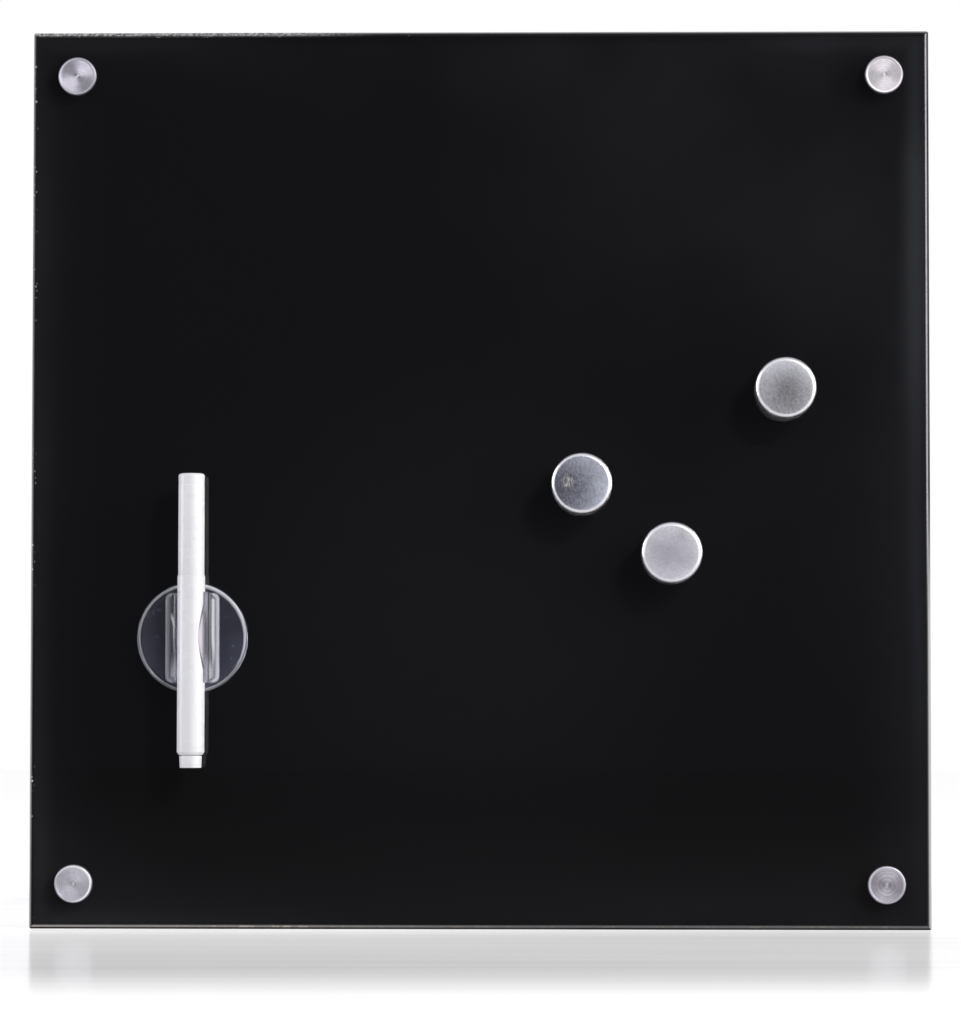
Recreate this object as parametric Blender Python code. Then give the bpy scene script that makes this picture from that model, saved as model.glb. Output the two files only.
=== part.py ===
"""Glass memo board on four stand-off fixings, with three magnets and a pen in a clear clip.

Metres, +Z up. The wall is the plane y = 0 and the board faces -Y. The origin is the board's
centre, on the wall. A depth below is a distance in front of the wall, along -Y. Each piece that
lies parallel to the wall is modelled with its local Z as that depth, and then turned upright.
"""

import math

import bmesh
import bpy

# Gaps
rest_gap = 0.0003  # between pieces that lie on one another
fit_clearance = 0.0003  # round a piece that sits in a hole
cut_overrun = 0.0010  # how far a cutter runs past what it cuts

# Glass panel, its black coat and the steel sheet behind it
board_width = 0.400
board_height = 0.400
glass_thickness = 0.0040
glass_edge_flat = 0.0002  # left between the two roundings of the pencil-ground edge
glass_corner_radius = 0.0010
glass_face_corner_radius = 0.0005  # where the flat of the glass ends
coat_thickness = 0.0003
coat_corner_radius = 0.0008
sheet_thickness = 0.0006
sheet_step = 0.0004  # how far the sheet stays inside the coat
sheet_corner_radius = 0.0020

# Stand-off fixings
fixing_inset = 0.0200  # from the panel's edges to the fixing's axis
thread_bore_radius = 0.0050
spacer_radius = 0.0085
spacer_length = 0.0120
spacer_floor = 0.0025
spacer_chamfer = 0.0006
spacer_relief_depth = 0.0004  # round the screw's hole, so that the plug's rim can't lift it
washer_step = 0.0006  # how far a washer stays inside the rim of what presses on it
front_washer_thickness = 0.0006
rear_washer_thickness = 0.0010
bush_wall = 0.0008
cap_radius = 0.0085
cap_thickness = 0.0020
cap_chamfer = 0.0005
cap_centre_radius = 0.0010  # turned dimple at the middle of the cap
cap_centre_depth = 0.0003
stud_chamfer = 0.0006

# Wall screw and plug
screw_shank_radius = 0.0020
screw_length = 0.0300  # below its head
screw_tip_length = 0.0040
screw_head_radius = 0.0039
screw_head_height = 0.0024
screw_head_rim = 0.0009
screw_recess_arm = 0.0022
screw_recess_half_width = 0.0005
screw_recess_depth = 0.0011
plug_radius = 0.0032
plug_length = 0.0280
plug_barb_depth = 0.0005
plug_barb_count = 4
plug_collar_length = 0.0040
plug_slot_width = 0.0010
plug_slot_length = 0.0180

# Magnets
magnet_radius = 0.0135
magnet_height = 0.0140
magnet_front_rounding = 0.0018
magnet_back_chamfer = 0.0006
magnet_core_radius = 0.0100
magnet_core_height = 0.0050
magnet_core_chamfer = 0.0004
# Centres as shares of the panel's half width and half height
magnet_place_shares = {
    "left": (0.227, -0.014),
    "middle": (0.426, -0.167),
    "right": (0.678, 0.198),
}

# Pen clip
clip_place_shares = (-0.637, -0.355)
clip_pad_radius = 0.0231
clip_pad_thickness = 0.0008
clip_foot_radius = 0.0246
clip_foot_thickness = 0.0020
clip_foot_edge = 0.0005
clip_bead_radius = 0.0007
clip_plinth_width = 0.0241
clip_plinth_length = 0.0400
clip_plinth_thickness = 0.0012
clip_plinth_corner = 0.0028
clip_plinth_weld = 0.0006  # how deep the plinth is sunk into the foot
clip_arm_thickness = 0.0011
clip_flare_foot = 0.0110  # from the pen's axis, where an arm's flare starts on the plinth
clip_flare_edge = 0.0006  # of the plinth left flat beside the flare at the rounded ends
clip_flare_angle = 25  # in degrees below the pen's axis, where the flare becomes the arm
clip_lobe_half_length = 0.0150
# How far each arm wraps past the pen's side, in degrees, at the clip's ends and at its middle
clip_left_wrap_angles = (2, 20)
clip_right_wrap_angles = (27, 54)

# Pen
pen_seam_above_clip = 0.0274
pen_barrel_radius = 0.0061
pen_barrel_length = 0.0790
pen_barrel_wall = 0.0010
pen_barrel_chamfer = 0.0009
pen_barrel_chamfer_length = 0.0013
pen_neck_length = 0.0024
pen_neck_radius = 0.0042
pen_plug_radius = 0.0050
pen_plug_taper = 0.0002
pen_plug_rounding = 0.0005
pen_plug_length = 0.0054
pen_plug_spigot = 0.0018
pen_cap_radius = 0.0058
pen_cap_wall = 0.0009
pen_cap_length = 0.0452
pen_cap_crown = 0.0015
pen_cap_rounding = 0.0013
pen_nose_spigot = 0.0080
pen_nose_collar = 0.0100
pen_nose_length = 0.0160
pen_nose_tip_radius = 0.0030
pen_nib_radius = 0.0020
pen_nib_reach = 0.0040
pen_nib_point = 0.0022
pen_reservoir_slack = 0.0002

# Facets
fine_steps = 40
round_steps = 32
plain_steps = 24
small_steps = 12
corner_steps = 4
edge_steps = 4
lobe_steps = 8
arm_steps = 6
flare_steps = 5
bore_steps = 18
tip_steps = 4
sharp_angle = math.radians(32)
upright = (math.radians(90), 0, 0)  # turns local Z to -Y and local Y to +Z

# Depths in front of the wall, from the wall outwards
rear_washer_back = spacer_length + rest_gap
rear_washer_front = rear_washer_back + rear_washer_thickness
sheet_back = rear_washer_front + rest_gap
sheet_front = sheet_back + sheet_thickness
coat_back = sheet_front + rest_gap
coat_front = coat_back + coat_thickness
glass_back = coat_front + rest_gap
glass_front = glass_back + glass_thickness
front_washer_back = glass_front + rest_gap
front_washer_front = front_washer_back + front_washer_thickness
cap_back = front_washer_front + rest_gap
cap_front = cap_back + cap_thickness
screw_head_back = spacer_floor + rest_gap
screw_head_front = screw_head_back + screw_head_height
stud_end = screw_head_front + rest_gap

# The edge of the glass, and the layers behind it that end where its rounding begins
glass_edge_rounding = (glass_thickness - glass_edge_flat) / 2
coat_inset = glass_edge_rounding
sheet_inset = coat_inset + sheet_step

# Radii that follow the threaded bore, the screw and the plug
stud_radius = thread_bore_radius - fit_clearance
washer_bore_radius = stud_radius + fit_clearance
bush_radius = washer_bore_radius + bush_wall
panel_hole_radius = bush_radius + fit_clearance
screw_hole_radius = screw_shank_radius + fit_clearance
plug_relief_radius = plug_radius + fit_clearance

# Heights above the glass of the clip's layers and of the pen's axis
pad_front = rest_gap + clip_pad_thickness
foot_back = pad_front + rest_gap
foot_front = foot_back + clip_foot_thickness
plinth_front = foot_front + clip_plinth_thickness
clip_bore_radius = pen_barrel_radius + fit_clearance
clip_arm_radius = clip_bore_radius + clip_arm_thickness
pen_axis_height = plinth_front + clip_bore_radius

# Levels along the pen, from the seam between cap and barrel
barrel_top = -rest_gap
barrel_bottom = barrel_top - pen_barrel_length
barrel_bore_radius = pen_barrel_radius - pen_barrel_wall
neck_top = barrel_bottom + pen_neck_length
plug_top = barrel_bottom - rest_gap
plug_bottom = plug_top - pen_plug_length
cap_bore_radius = pen_cap_radius - pen_cap_wall
nose_bottom = barrel_top - pen_nose_spigot
nose_bore_radius = pen_nib_radius + fit_clearance


def clear_scene():
    for thing in list(bpy.data.objects):
        bpy.data.objects.remove(thing)


def principled(name, colour, roughness, metallic=0.0, transmission=0.0):
    finish = bpy.data.materials.new(name)
    finish.use_nodes = True
    shader = finish.node_tree.nodes["Principled BSDF"]
    shader.inputs["Base Color"].default_value = (*colour, 1.0)
    shader.inputs["Roughness"].default_value = roughness
    shader.inputs["Metallic"].default_value = metallic
    shader.inputs["Transmission Weight"].default_value = transmission
    finish.diffuse_color = (*colour, 1.0)
    return finish


def make_finishes():
    """Colours as the photograph shows them, and for the hidden pieces as such pieces have."""
    return {
        "clear_glass": principled("clear_glass", (0.88, 0.93, 0.92), 0.03, transmission=1.0),
        "black_coat": principled("black_coat", (0.010, 0.010, 0.012), 0.35),
        "zinc_sheet": principled("zinc_sheet", (0.42, 0.43, 0.45), 0.42, metallic=1.0),
        "turned_metal": principled("turned_metal", (0.60, 0.59, 0.62), 0.28, metallic=1.0),
        "clear_washer": principled("clear_washer", (0.80, 0.83, 0.84), 0.20, transmission=0.8),
        "white_nylon": principled("white_nylon", (0.78, 0.78, 0.75), 0.45),
        "black_rubber": principled("black_rubber", (0.020, 0.020, 0.020), 0.80),
        "zinc_screw": principled("zinc_screw", (0.62, 0.60, 0.56), 0.32, metallic=1.0),
        "grey_nylon": principled("grey_nylon", (0.34, 0.35, 0.36), 0.50),
        "magnet_metal": principled("magnet_metal", (0.52, 0.53, 0.58), 0.33, metallic=1.0),
        "nickel": principled("nickel", (0.66, 0.62, 0.55), 0.20, metallic=1.0),
        "clear_plastic": principled("clear_plastic", (0.86, 0.88, 0.95), 0.06, transmission=1.0),
        "clear_pad": principled("clear_pad", (0.30, 0.32, 0.42), 0.30, transmission=0.6),
        "white_plastic": principled("white_plastic", (0.80, 0.80, 0.82), 0.25),
        "black_felt": principled("black_felt", (0.012, 0.012, 0.014), 0.90),
        "inked_fibre": principled("inked_fibre", (0.060, 0.060, 0.070), 0.90),
    }


def shade_by_angle(mesh):
    """Smooth over the facets of round walls, and sharp at edges."""
    mesh.shade_smooth()
    mesh.set_sharp_from_angle(angle=sharp_angle)


def finished_mesh(name, shape):
    """Closes a bmesh off as a mesh with its faces pointing out."""
    bmesh.ops.recalc_face_normals(shape, faces=shape.faces)
    mesh = bpy.data.meshes.new(name)
    shape.to_mesh(mesh)
    shape.free()
    shade_by_angle(mesh)
    return mesh


def arc(centre_x, centre_y, radius, start, end, steps):
    """Points on an arc from the start angle to the end angle, in degrees, both ends included."""
    points = []
    for step in range(steps + 1):
        angle = math.radians(start + (end - start) * step / steps)
        points.append((centre_x + radius * math.cos(angle), centre_y + radius * math.sin(angle)))
    return points


def ring_points(shape, radius, height, steps):
    """A ring of vertices round local Z, or a single one where the radius is zero."""
    if radius == 0:
        return [shape.verts.new((0, 0, height))]
    return [shape.verts.new((x, y, height)) for x, y in arc(0, 0, radius, 0, 360, steps)[:-1]]


def join_rings(shape, lower, upper):
    """Faces between two rings, either of which may be a single point on the axis."""
    count = max(len(lower), len(upper))
    if count == 1:
        return
    for here in range(count):
        there = (here + 1) % count
        corners = [lower[here % len(lower)], lower[there % len(lower)]]
        corners += [upper[there % len(upper)], upper[here % len(upper)]]
        shape.faces.new(list(dict.fromkeys(corners)))


def turned_mesh(name, section, steps):
    """Turns a closed half section, given as (radius, height) points in order, round local Z."""
    shape = bmesh.new()
    rings = [ring_points(shape, radius, height, steps) for radius, height in section]
    for lower, upper in zip(rings, rings[1:] + rings[:1]):
        join_rings(shape, lower, upper)
    return finished_mesh(name, shape)


def lofted_mesh(name, sections):
    """Joins outlines of as many points each, and closes the two ends."""
    shape = bmesh.new()
    loops = [[shape.verts.new(point) for point in section] for section in sections]
    for lower, upper in zip(loops, loops[1:]):
        join_rings(shape, lower, upper)
    shape.faces.new(loops[0])
    shape.faces.new(loops[-1])
    return finished_mesh(name, shape)


def rounded_outline(width, height, radius):
    """A rectangle round the origin with rounded corners, anticlockwise."""
    across = width / 2 - radius
    up = height / 2 - radius
    outline = arc(across, up, radius, 0, 90, corner_steps)
    outline += arc(-across, up, radius, 90, 180, corner_steps)
    outline += arc(-across, -up, radius, 180, 270, corner_steps)
    outline += arc(across, -up, radius, 270, 360, corner_steps)
    return outline


def panel_section(inset, corner_radius, depth):
    """The panel's outline at a depth, drawn in all round by an inset."""
    outline = rounded_outline(board_width - 2 * inset, board_height - 2 * inset, corner_radius)
    return [(x, y, depth) for x, y in outline]


def plate_mesh(name, inset, corner_radius, back, front):
    """A flat layer of the panel."""
    plate = lofted_mesh(name, [panel_section(inset, corner_radius, d) for d in (back, front)])
    plate.shade_flat()
    return plate


def glass_mesh():
    """The pane, with a pencil-ground edge whose corners are rounder at its outermost line."""
    rounding = glass_edge_rounding
    profile = arc(rounding, glass_back + rounding, rounding, 270, 180, edge_steps)
    profile += arc(rounding, glass_front - rounding, rounding, 180, 90, edge_steps)
    sections = []
    for inset, depth in profile:
        dubbing = (glass_corner_radius - glass_face_corner_radius) * (1 - inset / rounding)
        sections.append(panel_section(inset, glass_face_corner_radius + dubbing, depth))
    pane = lofted_mesh("glass_panel", sections)
    pane.shade_flat()
    return pane


def add_empty(name, place):
    empty = bpy.data.objects.new(name, None)
    empty.location = place
    bpy.context.scene.collection.objects.link(empty)
    return empty


def add_piece(name, mesh, finish, parent, place=(0, 0, 0), turn=(0, 0, 0)):
    """Puts a mesh in the scene as one piece, placed and turned under its parent."""
    piece = bpy.data.objects.new(name, mesh)
    if not mesh.materials:
        mesh.materials.append(finish)
    piece.parent = parent
    piece.location = place
    piece.rotation_euler = turn
    bpy.context.scene.collection.objects.link(piece)
    return piece


def add_cutter(name, mesh, turn=(0, 0, 0)):
    """A body that shapes pieces and is no piece itself."""
    cutter = bpy.data.objects.new(name, mesh)
    cutter.rotation_euler = turn
    cutter.hide_render = True
    cutter.display_type = "WIRE"
    bpy.context.scene.collection.objects.link(cutter)
    return cutter


def add_boolean(piece, other, operation):
    boolean = piece.modifiers.new(operation.lower(), "BOOLEAN")
    boolean.solver = "EXACT"
    boolean.operation = operation
    boolean.object = other


def combined_mesh(name, mesh, other_mesh, operation):
    """The mesh joined to the other or cut by it, as a new mesh that several pieces can share."""
    body = add_cutter(name + "_body", mesh)
    other = add_cutter(name + "_other", other_mesh)
    add_boolean(body, other, operation)
    bpy.context.view_layer.update()
    evaluated = body.evaluated_get(bpy.context.evaluated_depsgraph_get())
    combined = bpy.data.meshes.new_from_object(evaluated)
    combined.name = name
    shade_by_angle(combined)
    bpy.data.objects.remove(body)
    bpy.data.objects.remove(other)
    return combined


def fixing_places():
    """The four fixings' axes, as (name, across, up) from the board's centre."""
    across = board_width / 2 - fixing_inset
    up = board_height / 2 - fixing_inset
    places = []
    for row, row_sign in (("top", 1), ("bottom", -1)):
        for column, column_sign in (("left", -1), ("right", 1)):
            places.append((f"{row}_{column}", across * column_sign, up * row_sign))
    return places


def panel_drill():
    """Four drills in one body, which run through every layer of the panel."""
    shape = bmesh.new()
    for _, across, up in fixing_places():
        ends = []
        for depth in (sheet_back - cut_overrun, glass_front + cut_overrun):
            circle = arc(across, up, panel_hole_radius, 0, 360, plain_steps)[:-1]
            ends.append([shape.verts.new((x, y, depth)) for x, y in circle])
        join_rings(shape, *ends)
        shape.faces.new(ends[0])
        shape.faces.new(ends[1])
    return add_cutter("panel_drill", finished_mesh("panel_drill", shape), turn=upright)


def build_panel(finishes, board):
    drill = panel_drill()
    glass = add_piece("glass_panel", glass_mesh(), finishes["clear_glass"], board, turn=upright)
    coat_mesh = plate_mesh("back_coat", coat_inset, coat_corner_radius, coat_back, coat_front)
    coat = add_piece("back_coat", coat_mesh, finishes["black_coat"], board, turn=upright)
    sheet_mesh = plate_mesh("steel_sheet", sheet_inset, sheet_corner_radius, sheet_back, sheet_front)
    sheet = add_piece("steel_sheet", sheet_mesh, finishes["zinc_sheet"], board, turn=upright)
    for layer in (glass, coat, sheet):
        add_boolean(layer, drill, "DIFFERENCE")


def cap_mesh():
    """A low turned cap with a dimple at its middle, in one with its threaded stud."""
    section = [
        (0, stud_end),
        (stud_radius - stud_chamfer, stud_end),
        (stud_radius, stud_end + stud_chamfer),
        (stud_radius, cap_back),
        (cap_radius, cap_back),
        (cap_radius, cap_front - cap_chamfer),
        (cap_radius - cap_chamfer, cap_front),
        (cap_centre_radius, cap_front),
        (cap_centre_radius / 2, cap_front - cap_centre_depth),
        (0, cap_front),
    ]
    return turned_mesh("cap", section, round_steps)


def washer_mesh(name, radius, back, front):
    """A plain ring round the stud, for the washers and bushes."""
    bore = washer_bore_radius
    section = [(bore, back), (radius, back), (radius, front), (bore, front)]
    return turned_mesh(name, section, plain_steps)


def spacer_mesh():
    """A barrel with a threaded bore in front, and a floor with the screw's hole on the wall."""
    section = [
        (screw_hole_radius, spacer_relief_depth),
        (plug_relief_radius, spacer_relief_depth),
        (plug_relief_radius, 0),
        (spacer_radius - spacer_chamfer, 0),
        (spacer_radius, spacer_chamfer),
        (spacer_radius, spacer_length - spacer_chamfer),
        (spacer_radius - spacer_chamfer, spacer_length),
        (thread_bore_radius, spacer_length),
        (thread_bore_radius, spacer_floor),
        (screw_hole_radius, spacer_floor),
    ]
    return turned_mesh("spacer", section, plain_steps)


def screw_recess_mesh():
    """A cross, to sink into the screw's head."""
    arm = screw_recess_arm
    half = screw_recess_half_width
    outline = []
    for across, up in ((1, 0), (0, 1), (-1, 0), (0, -1)):
        for x, y in ((arm, half), (half, half), (half, arm)):
            outline.append((x * across - y * up, x * up + y * across))
    depths = (screw_head_front - screw_recess_depth, screw_head_front + cut_overrun)
    return lofted_mesh("screw_recess", [[(x, y, depth) for x, y in outline] for depth in depths])


def screw_mesh():
    """A pan-head screw whose shank runs through the spacer's floor into the wall."""
    tip = screw_head_back - screw_length
    rim = screw_head_back + screw_head_rim
    dome = screw_head_height - screw_head_rim
    section = [
        (0, tip),
        (screw_shank_radius, tip + screw_tip_length),
        (screw_shank_radius, screw_head_back),
        (screw_head_radius, screw_head_back),
    ]
    section += arc(screw_head_radius - dome, rim, dome, 0, 90, corner_steps)
    section.append((0, screw_head_front))
    blank = turned_mesh("screw_blank", section, small_steps)
    return combined_mesh("wall_screw", blank, screw_recess_mesh(), "DIFFERENCE")


def plug_mesh():
    """A split wall plug with barbs behind a plain collar."""
    mouth = -rest_gap
    tail = mouth - plug_length
    collar_end = mouth - plug_collar_length
    barb_length = (plug_length - plug_collar_length) / plug_barb_count
    section = [
        (screw_hole_radius, tail),
        (screw_hole_radius, mouth),
        (plug_radius, mouth),
        (plug_radius, collar_end),
    ]
    for barb in range(plug_barb_count):
        barb_top = collar_end - barb * barb_length
        section.append((plug_radius - plug_barb_depth, barb_top))
        section.append((plug_radius, barb_top - barb_length / 2))
    section.append((plug_radius - plug_barb_depth, tail))
    blank = turned_mesh("plug_blank", section, small_steps)
    half = plug_slot_width / 2
    reach = plug_radius + cut_overrun
    corners = [(-reach, -half), (reach, -half), (reach, half), (-reach, half)]
    levels = (tail - cut_overrun, tail + plug_slot_length)
    slot = lofted_mesh("plug_slot", [[(x, y, level) for x, y in corners] for level in levels])
    return combined_mesh("wall_plug", blank, slot, "DIFFERENCE")


def build_fixings(finishes, board):
    """One set of seven pieces at each corner, all turned round the same axis."""
    front_radius = cap_radius - washer_step
    rear_radius = spacer_radius - washer_step
    front_washer = washer_mesh("front_washer", front_radius, front_washer_back, front_washer_front)
    hole_bush = washer_mesh("hole_bush", bush_radius, sheet_back, glass_front)
    rear_washer = washer_mesh("rear_washer", rear_radius, rear_washer_back, rear_washer_front)
    kinds = [
        (cap_mesh(), "turned_metal"),
        (front_washer, "clear_washer"),
        (hole_bush, "white_nylon"),
        (rear_washer, "black_rubber"),
        (spacer_mesh(), "turned_metal"),
        (screw_mesh(), "zinc_screw"),
        (plug_mesh(), "grey_nylon"),
    ]
    for place_name, across, up in fixing_places():
        for mesh, finish in kinds:
            name = f"{mesh.name}_{place_name}"
            add_piece(name, mesh, finishes[finish], board, (across, 0, up), upright)


def panel_point(shares, height):
    """A point in front of the glass, by its shares of the panel's half width and half height."""
    across, up = shares
    return across * board_width / 2, -(glass_front + height), up * board_height / 2


def magnet_shell_mesh():
    """A turned metal body with a rounded front rim and a recess for its core."""
    front = rest_gap + magnet_height
    ceiling = rest_gap + magnet_core_height + rest_gap
    recess_radius = magnet_core_radius + fit_clearance
    shoulder = magnet_radius - magnet_front_rounding
    section = [
        (0, ceiling),
        (recess_radius, ceiling),
        (recess_radius, rest_gap),
        (magnet_radius - magnet_back_chamfer, rest_gap),
        (magnet_radius, rest_gap + magnet_back_chamfer),
    ]
    section += arc(shoulder, front - magnet_front_rounding, magnet_front_rounding, 0, 90, corner_steps)
    section.append((0, front))
    return turned_mesh("magnet_shell", section, fine_steps)


def magnet_core_mesh():
    front = rest_gap + magnet_core_height
    section = [
        (0, rest_gap),
        (magnet_core_radius - magnet_core_chamfer, rest_gap),
        (magnet_core_radius, rest_gap + magnet_core_chamfer),
        (magnet_core_radius, front - magnet_core_chamfer),
        (magnet_core_radius - magnet_core_chamfer, front),
        (0, front),
    ]
    return turned_mesh("magnet_core", section, plain_steps)


def build_magnets(finishes):
    shell = magnet_shell_mesh()
    core = magnet_core_mesh()
    for side, shares in magnet_place_shares.items():
        magnet = add_empty(f"magnet_{side}", panel_point(shares, 0))
        add_piece(f"magnet_{side}_shell", shell, finishes["magnet_metal"], magnet, turn=upright)
        add_piece(f"magnet_{side}_core", core, finishes["nickel"], magnet, turn=upright)


def clip_stations():
    """Where the clip's outline is taken along its length, with the plinth's half width there."""
    corner = clip_plinth_corner
    straight = clip_plinth_length / 2 - corner
    side = clip_plinth_width / 2 - corner
    end = [(straight + y, side + x) for x, y in arc(0, 0, corner, 0, 90, corner_steps)]
    middle = []
    for step in range(lobe_steps + 1):
        middle.append((clip_lobe_half_length * (2 * step / lobe_steps - 1), side + corner))
    first = [(-along, half_width) for along, half_width in reversed(end)]
    return first + middle + end


def wrap_angle(angles, along):
    """How far an arm wraps past the pen's side: a lobe that is fullest at the clip's middle."""
    at_end, at_middle = angles
    if abs(along) >= clip_lobe_half_length:
        return at_end
    fullness = math.cos(math.pi / 2 * along / clip_lobe_half_length)
    return at_end + (at_middle - at_end) * fullness


def arm_tip(wrap, start, end):
    """The rounded free edge of an arm, at its wrap angle on the middle line of the arm."""
    middle = clip_bore_radius + clip_arm_thickness / 2
    x = middle * math.cos(math.radians(wrap))
    y = pen_axis_height + middle * math.sin(math.radians(wrap))
    return arc(x, y, clip_arm_thickness / 2, start, end, tip_steps)[1:-1]


def flare_points(half_width):
    """The hollow outer side of an arm, from the plinth up to where the arm wraps round the pen."""
    foot = min(clip_flare_foot, half_width - clip_flare_edge)
    root = math.radians(clip_flare_angle)
    across = foot - clip_arm_radius * math.cos(root)
    up = pen_axis_height - clip_arm_radius * math.sin(root) - plinth_front
    quarter = arc(0, 0, 1, 270, 180, flare_steps)
    return [(foot + across * x, plinth_front + up * (1 + y)) for x, y in quarter]


def clip_outline(along, half_width):
    """Plinth and arms in section: along the foot, round the right arm, the bore and the left arm."""
    right = wrap_angle(clip_right_wrap_angles, along)
    left = 180 - wrap_angle(clip_left_wrap_angles, along)
    root = clip_flare_angle
    bed = foot_front - clip_plinth_weld
    flare = flare_points(half_width)
    outline = [(-half_width, bed), (half_width, bed), (half_width, plinth_front)]
    outline += flare[:-1]
    outline += arc(0, pen_axis_height, clip_arm_radius, -root, right, arm_steps)
    outline += arm_tip(right, right, right + 180)
    outline += arc(0, pen_axis_height, clip_bore_radius, right, left - 360, bore_steps)
    outline += arm_tip(left, left - 180, left)
    outline += arc(0, pen_axis_height, clip_arm_radius, left, 180 + root, arm_steps)
    outline += [(-x, height) for x, height in reversed(flare[:-1])]
    outline.append((-half_width, plinth_front))
    return [(x, along, height) for x, height in outline]


def clip_foot_mesh():
    """A disc with a round bead along its rim."""
    bead_centre = clip_foot_radius - clip_bead_radius
    section = [
        (0, foot_back),
        (clip_foot_radius - clip_foot_edge, foot_back),
        (clip_foot_radius, foot_back + clip_foot_edge),
    ]
    section += arc(bead_centre, foot_front, clip_bead_radius, 0, 180, corner_steps)
    section.append((0, foot_front))
    return turned_mesh("clip_foot", section, fine_steps)


def clip_grip_mesh():
    """The plinth and the two arms that wrap round the pen."""
    sections = [clip_outline(along, half_width) for along, half_width in clip_stations()]
    return lofted_mesh("clip_grip", sections)


def clip_pad_mesh():
    radius = clip_pad_radius
    section = [(0, rest_gap), (radius, rest_gap), (radius, pad_front), (0, pad_front)]
    return turned_mesh("clip_pad", section, fine_steps)


def build_clip(finishes, board):
    place = panel_point(clip_place_shares, 0)
    clip_mesh = combined_mesh("pen_clip", clip_foot_mesh(), clip_grip_mesh(), "UNION")
    add_piece("pen_clip", clip_mesh, finishes["clear_plastic"], board, place, upright)
    add_piece("clip_pad", clip_pad_mesh(), finishes["clear_pad"], board, place, upright)


def pen_cap_mesh():
    """A plain round cap, open below."""
    inner_top = pen_cap_length - pen_cap_crown
    shoulder = pen_cap_radius - pen_cap_rounding
    section = [(0, inner_top), (cap_bore_radius, inner_top), (cap_bore_radius, 0), (pen_cap_radius, 0)]
    section += arc(shoulder, pen_cap_length - pen_cap_rounding, pen_cap_rounding, 0, 90, corner_steps)
    section.append((0, pen_cap_length))
    return turned_mesh("pen_cap", section, round_steps)


def pen_barrel_mesh():
    """A tube with a narrow neck at its lower end for the end plug."""
    section = [
        (pen_neck_radius, barrel_bottom),
        (pen_barrel_radius - pen_barrel_chamfer, barrel_bottom),
        (pen_barrel_radius, barrel_bottom + pen_barrel_chamfer_length),
        (pen_barrel_radius, barrel_top),
        (barrel_bore_radius, barrel_top),
        (barrel_bore_radius, neck_top),
        (pen_neck_radius, neck_top),
    ]
    return turned_mesh("pen_barrel", section, round_steps)


def pen_end_plug_mesh():
    spigot_radius = pen_neck_radius - fit_clearance
    end_radius = pen_plug_radius - pen_plug_taper
    section = [
        (0, plug_top + pen_plug_spigot),
        (spigot_radius, plug_top + pen_plug_spigot),
        (spigot_radius, plug_top),
        (pen_plug_radius, plug_top),
        (end_radius, plug_bottom + pen_plug_rounding),
        (end_radius - pen_plug_rounding, plug_bottom),
        (0, plug_bottom),
    ]
    return turned_mesh("pen_end_plug", section, plain_steps)


def pen_nose_mesh():
    """The nib's holder: a spigot in the barrel, a collar in the cap and a cone."""
    section = [
        (nose_bore_radius, nose_bottom),
        (barrel_bore_radius - fit_clearance, nose_bottom),
        (barrel_bore_radius - fit_clearance, barrel_top),
        (cap_bore_radius - fit_clearance, barrel_top),
        (cap_bore_radius - fit_clearance, pen_nose_collar),
        (pen_nose_tip_radius, pen_nose_length),
        (nose_bore_radius, pen_nose_length),
    ]
    return turned_mesh("pen_nose", section, plain_steps)


def pen_nib_mesh():
    """A felt rod with a round point."""
    shoulder = pen_nose_length + pen_nib_reach - pen_nib_point
    section = [(0, nose_bottom), (pen_nib_radius, nose_bottom)]
    for x, y in arc(0, 0, 1, 0, 90, corner_steps)[:-1]:
        section.append((pen_nib_radius * x, shoulder + pen_nib_point * y))
    section.append((0, shoulder + pen_nib_point))
    return turned_mesh("pen_nib", section, small_steps)


def pen_reservoir_mesh():
    radius = barrel_bore_radius - fit_clearance - pen_reservoir_slack
    bottom = neck_top + rest_gap
    top = nose_bottom - rest_gap
    section = [(0, bottom), (radius, bottom), (radius, top), (0, top)]
    return turned_mesh("pen_reservoir", section, plain_steps)


def build_pen(finishes):
    x, y, z = panel_point(clip_place_shares, pen_axis_height)
    pen = add_empty("pen", (x, y, z + pen_seam_above_clip))
    add_piece("pen_cap", pen_cap_mesh(), finishes["white_plastic"], pen)
    add_piece("pen_barrel", pen_barrel_mesh(), finishes["white_plastic"], pen)
    add_piece("pen_end_plug", pen_end_plug_mesh(), finishes["white_plastic"], pen)
    add_piece("pen_nose", pen_nose_mesh(), finishes["white_plastic"], pen)
    add_piece("pen_nib", pen_nib_mesh(), finishes["black_felt"], pen)
    add_piece("pen_reservoir", pen_reservoir_mesh(), finishes["inked_fibre"], pen)


def main():
    clear_scene()
    finishes = make_finishes()
    board = add_empty("board", (0, 0, 0))
    build_panel(finishes, board)
    build_fixings(finishes, board)
    build_magnets(finishes)
    build_clip(finishes, board)
    build_pen(finishes)


main()
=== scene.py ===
"""Looks of a square glass memo board with three magnets and a marker pen in a clear clip.

Metres, +Z up. The wall is the plane y = 0 and the board faces -Y. A depth is a distance in front
of the wall, along -Y. A piece that lies parallel to the wall is modelled with its local Z as that
depth, on its own axis, and then turned upright.
"""

import math
from functools import partialmethod

import bmesh
import bpy
from mathutils import Matrix, Vector, noise


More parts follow.
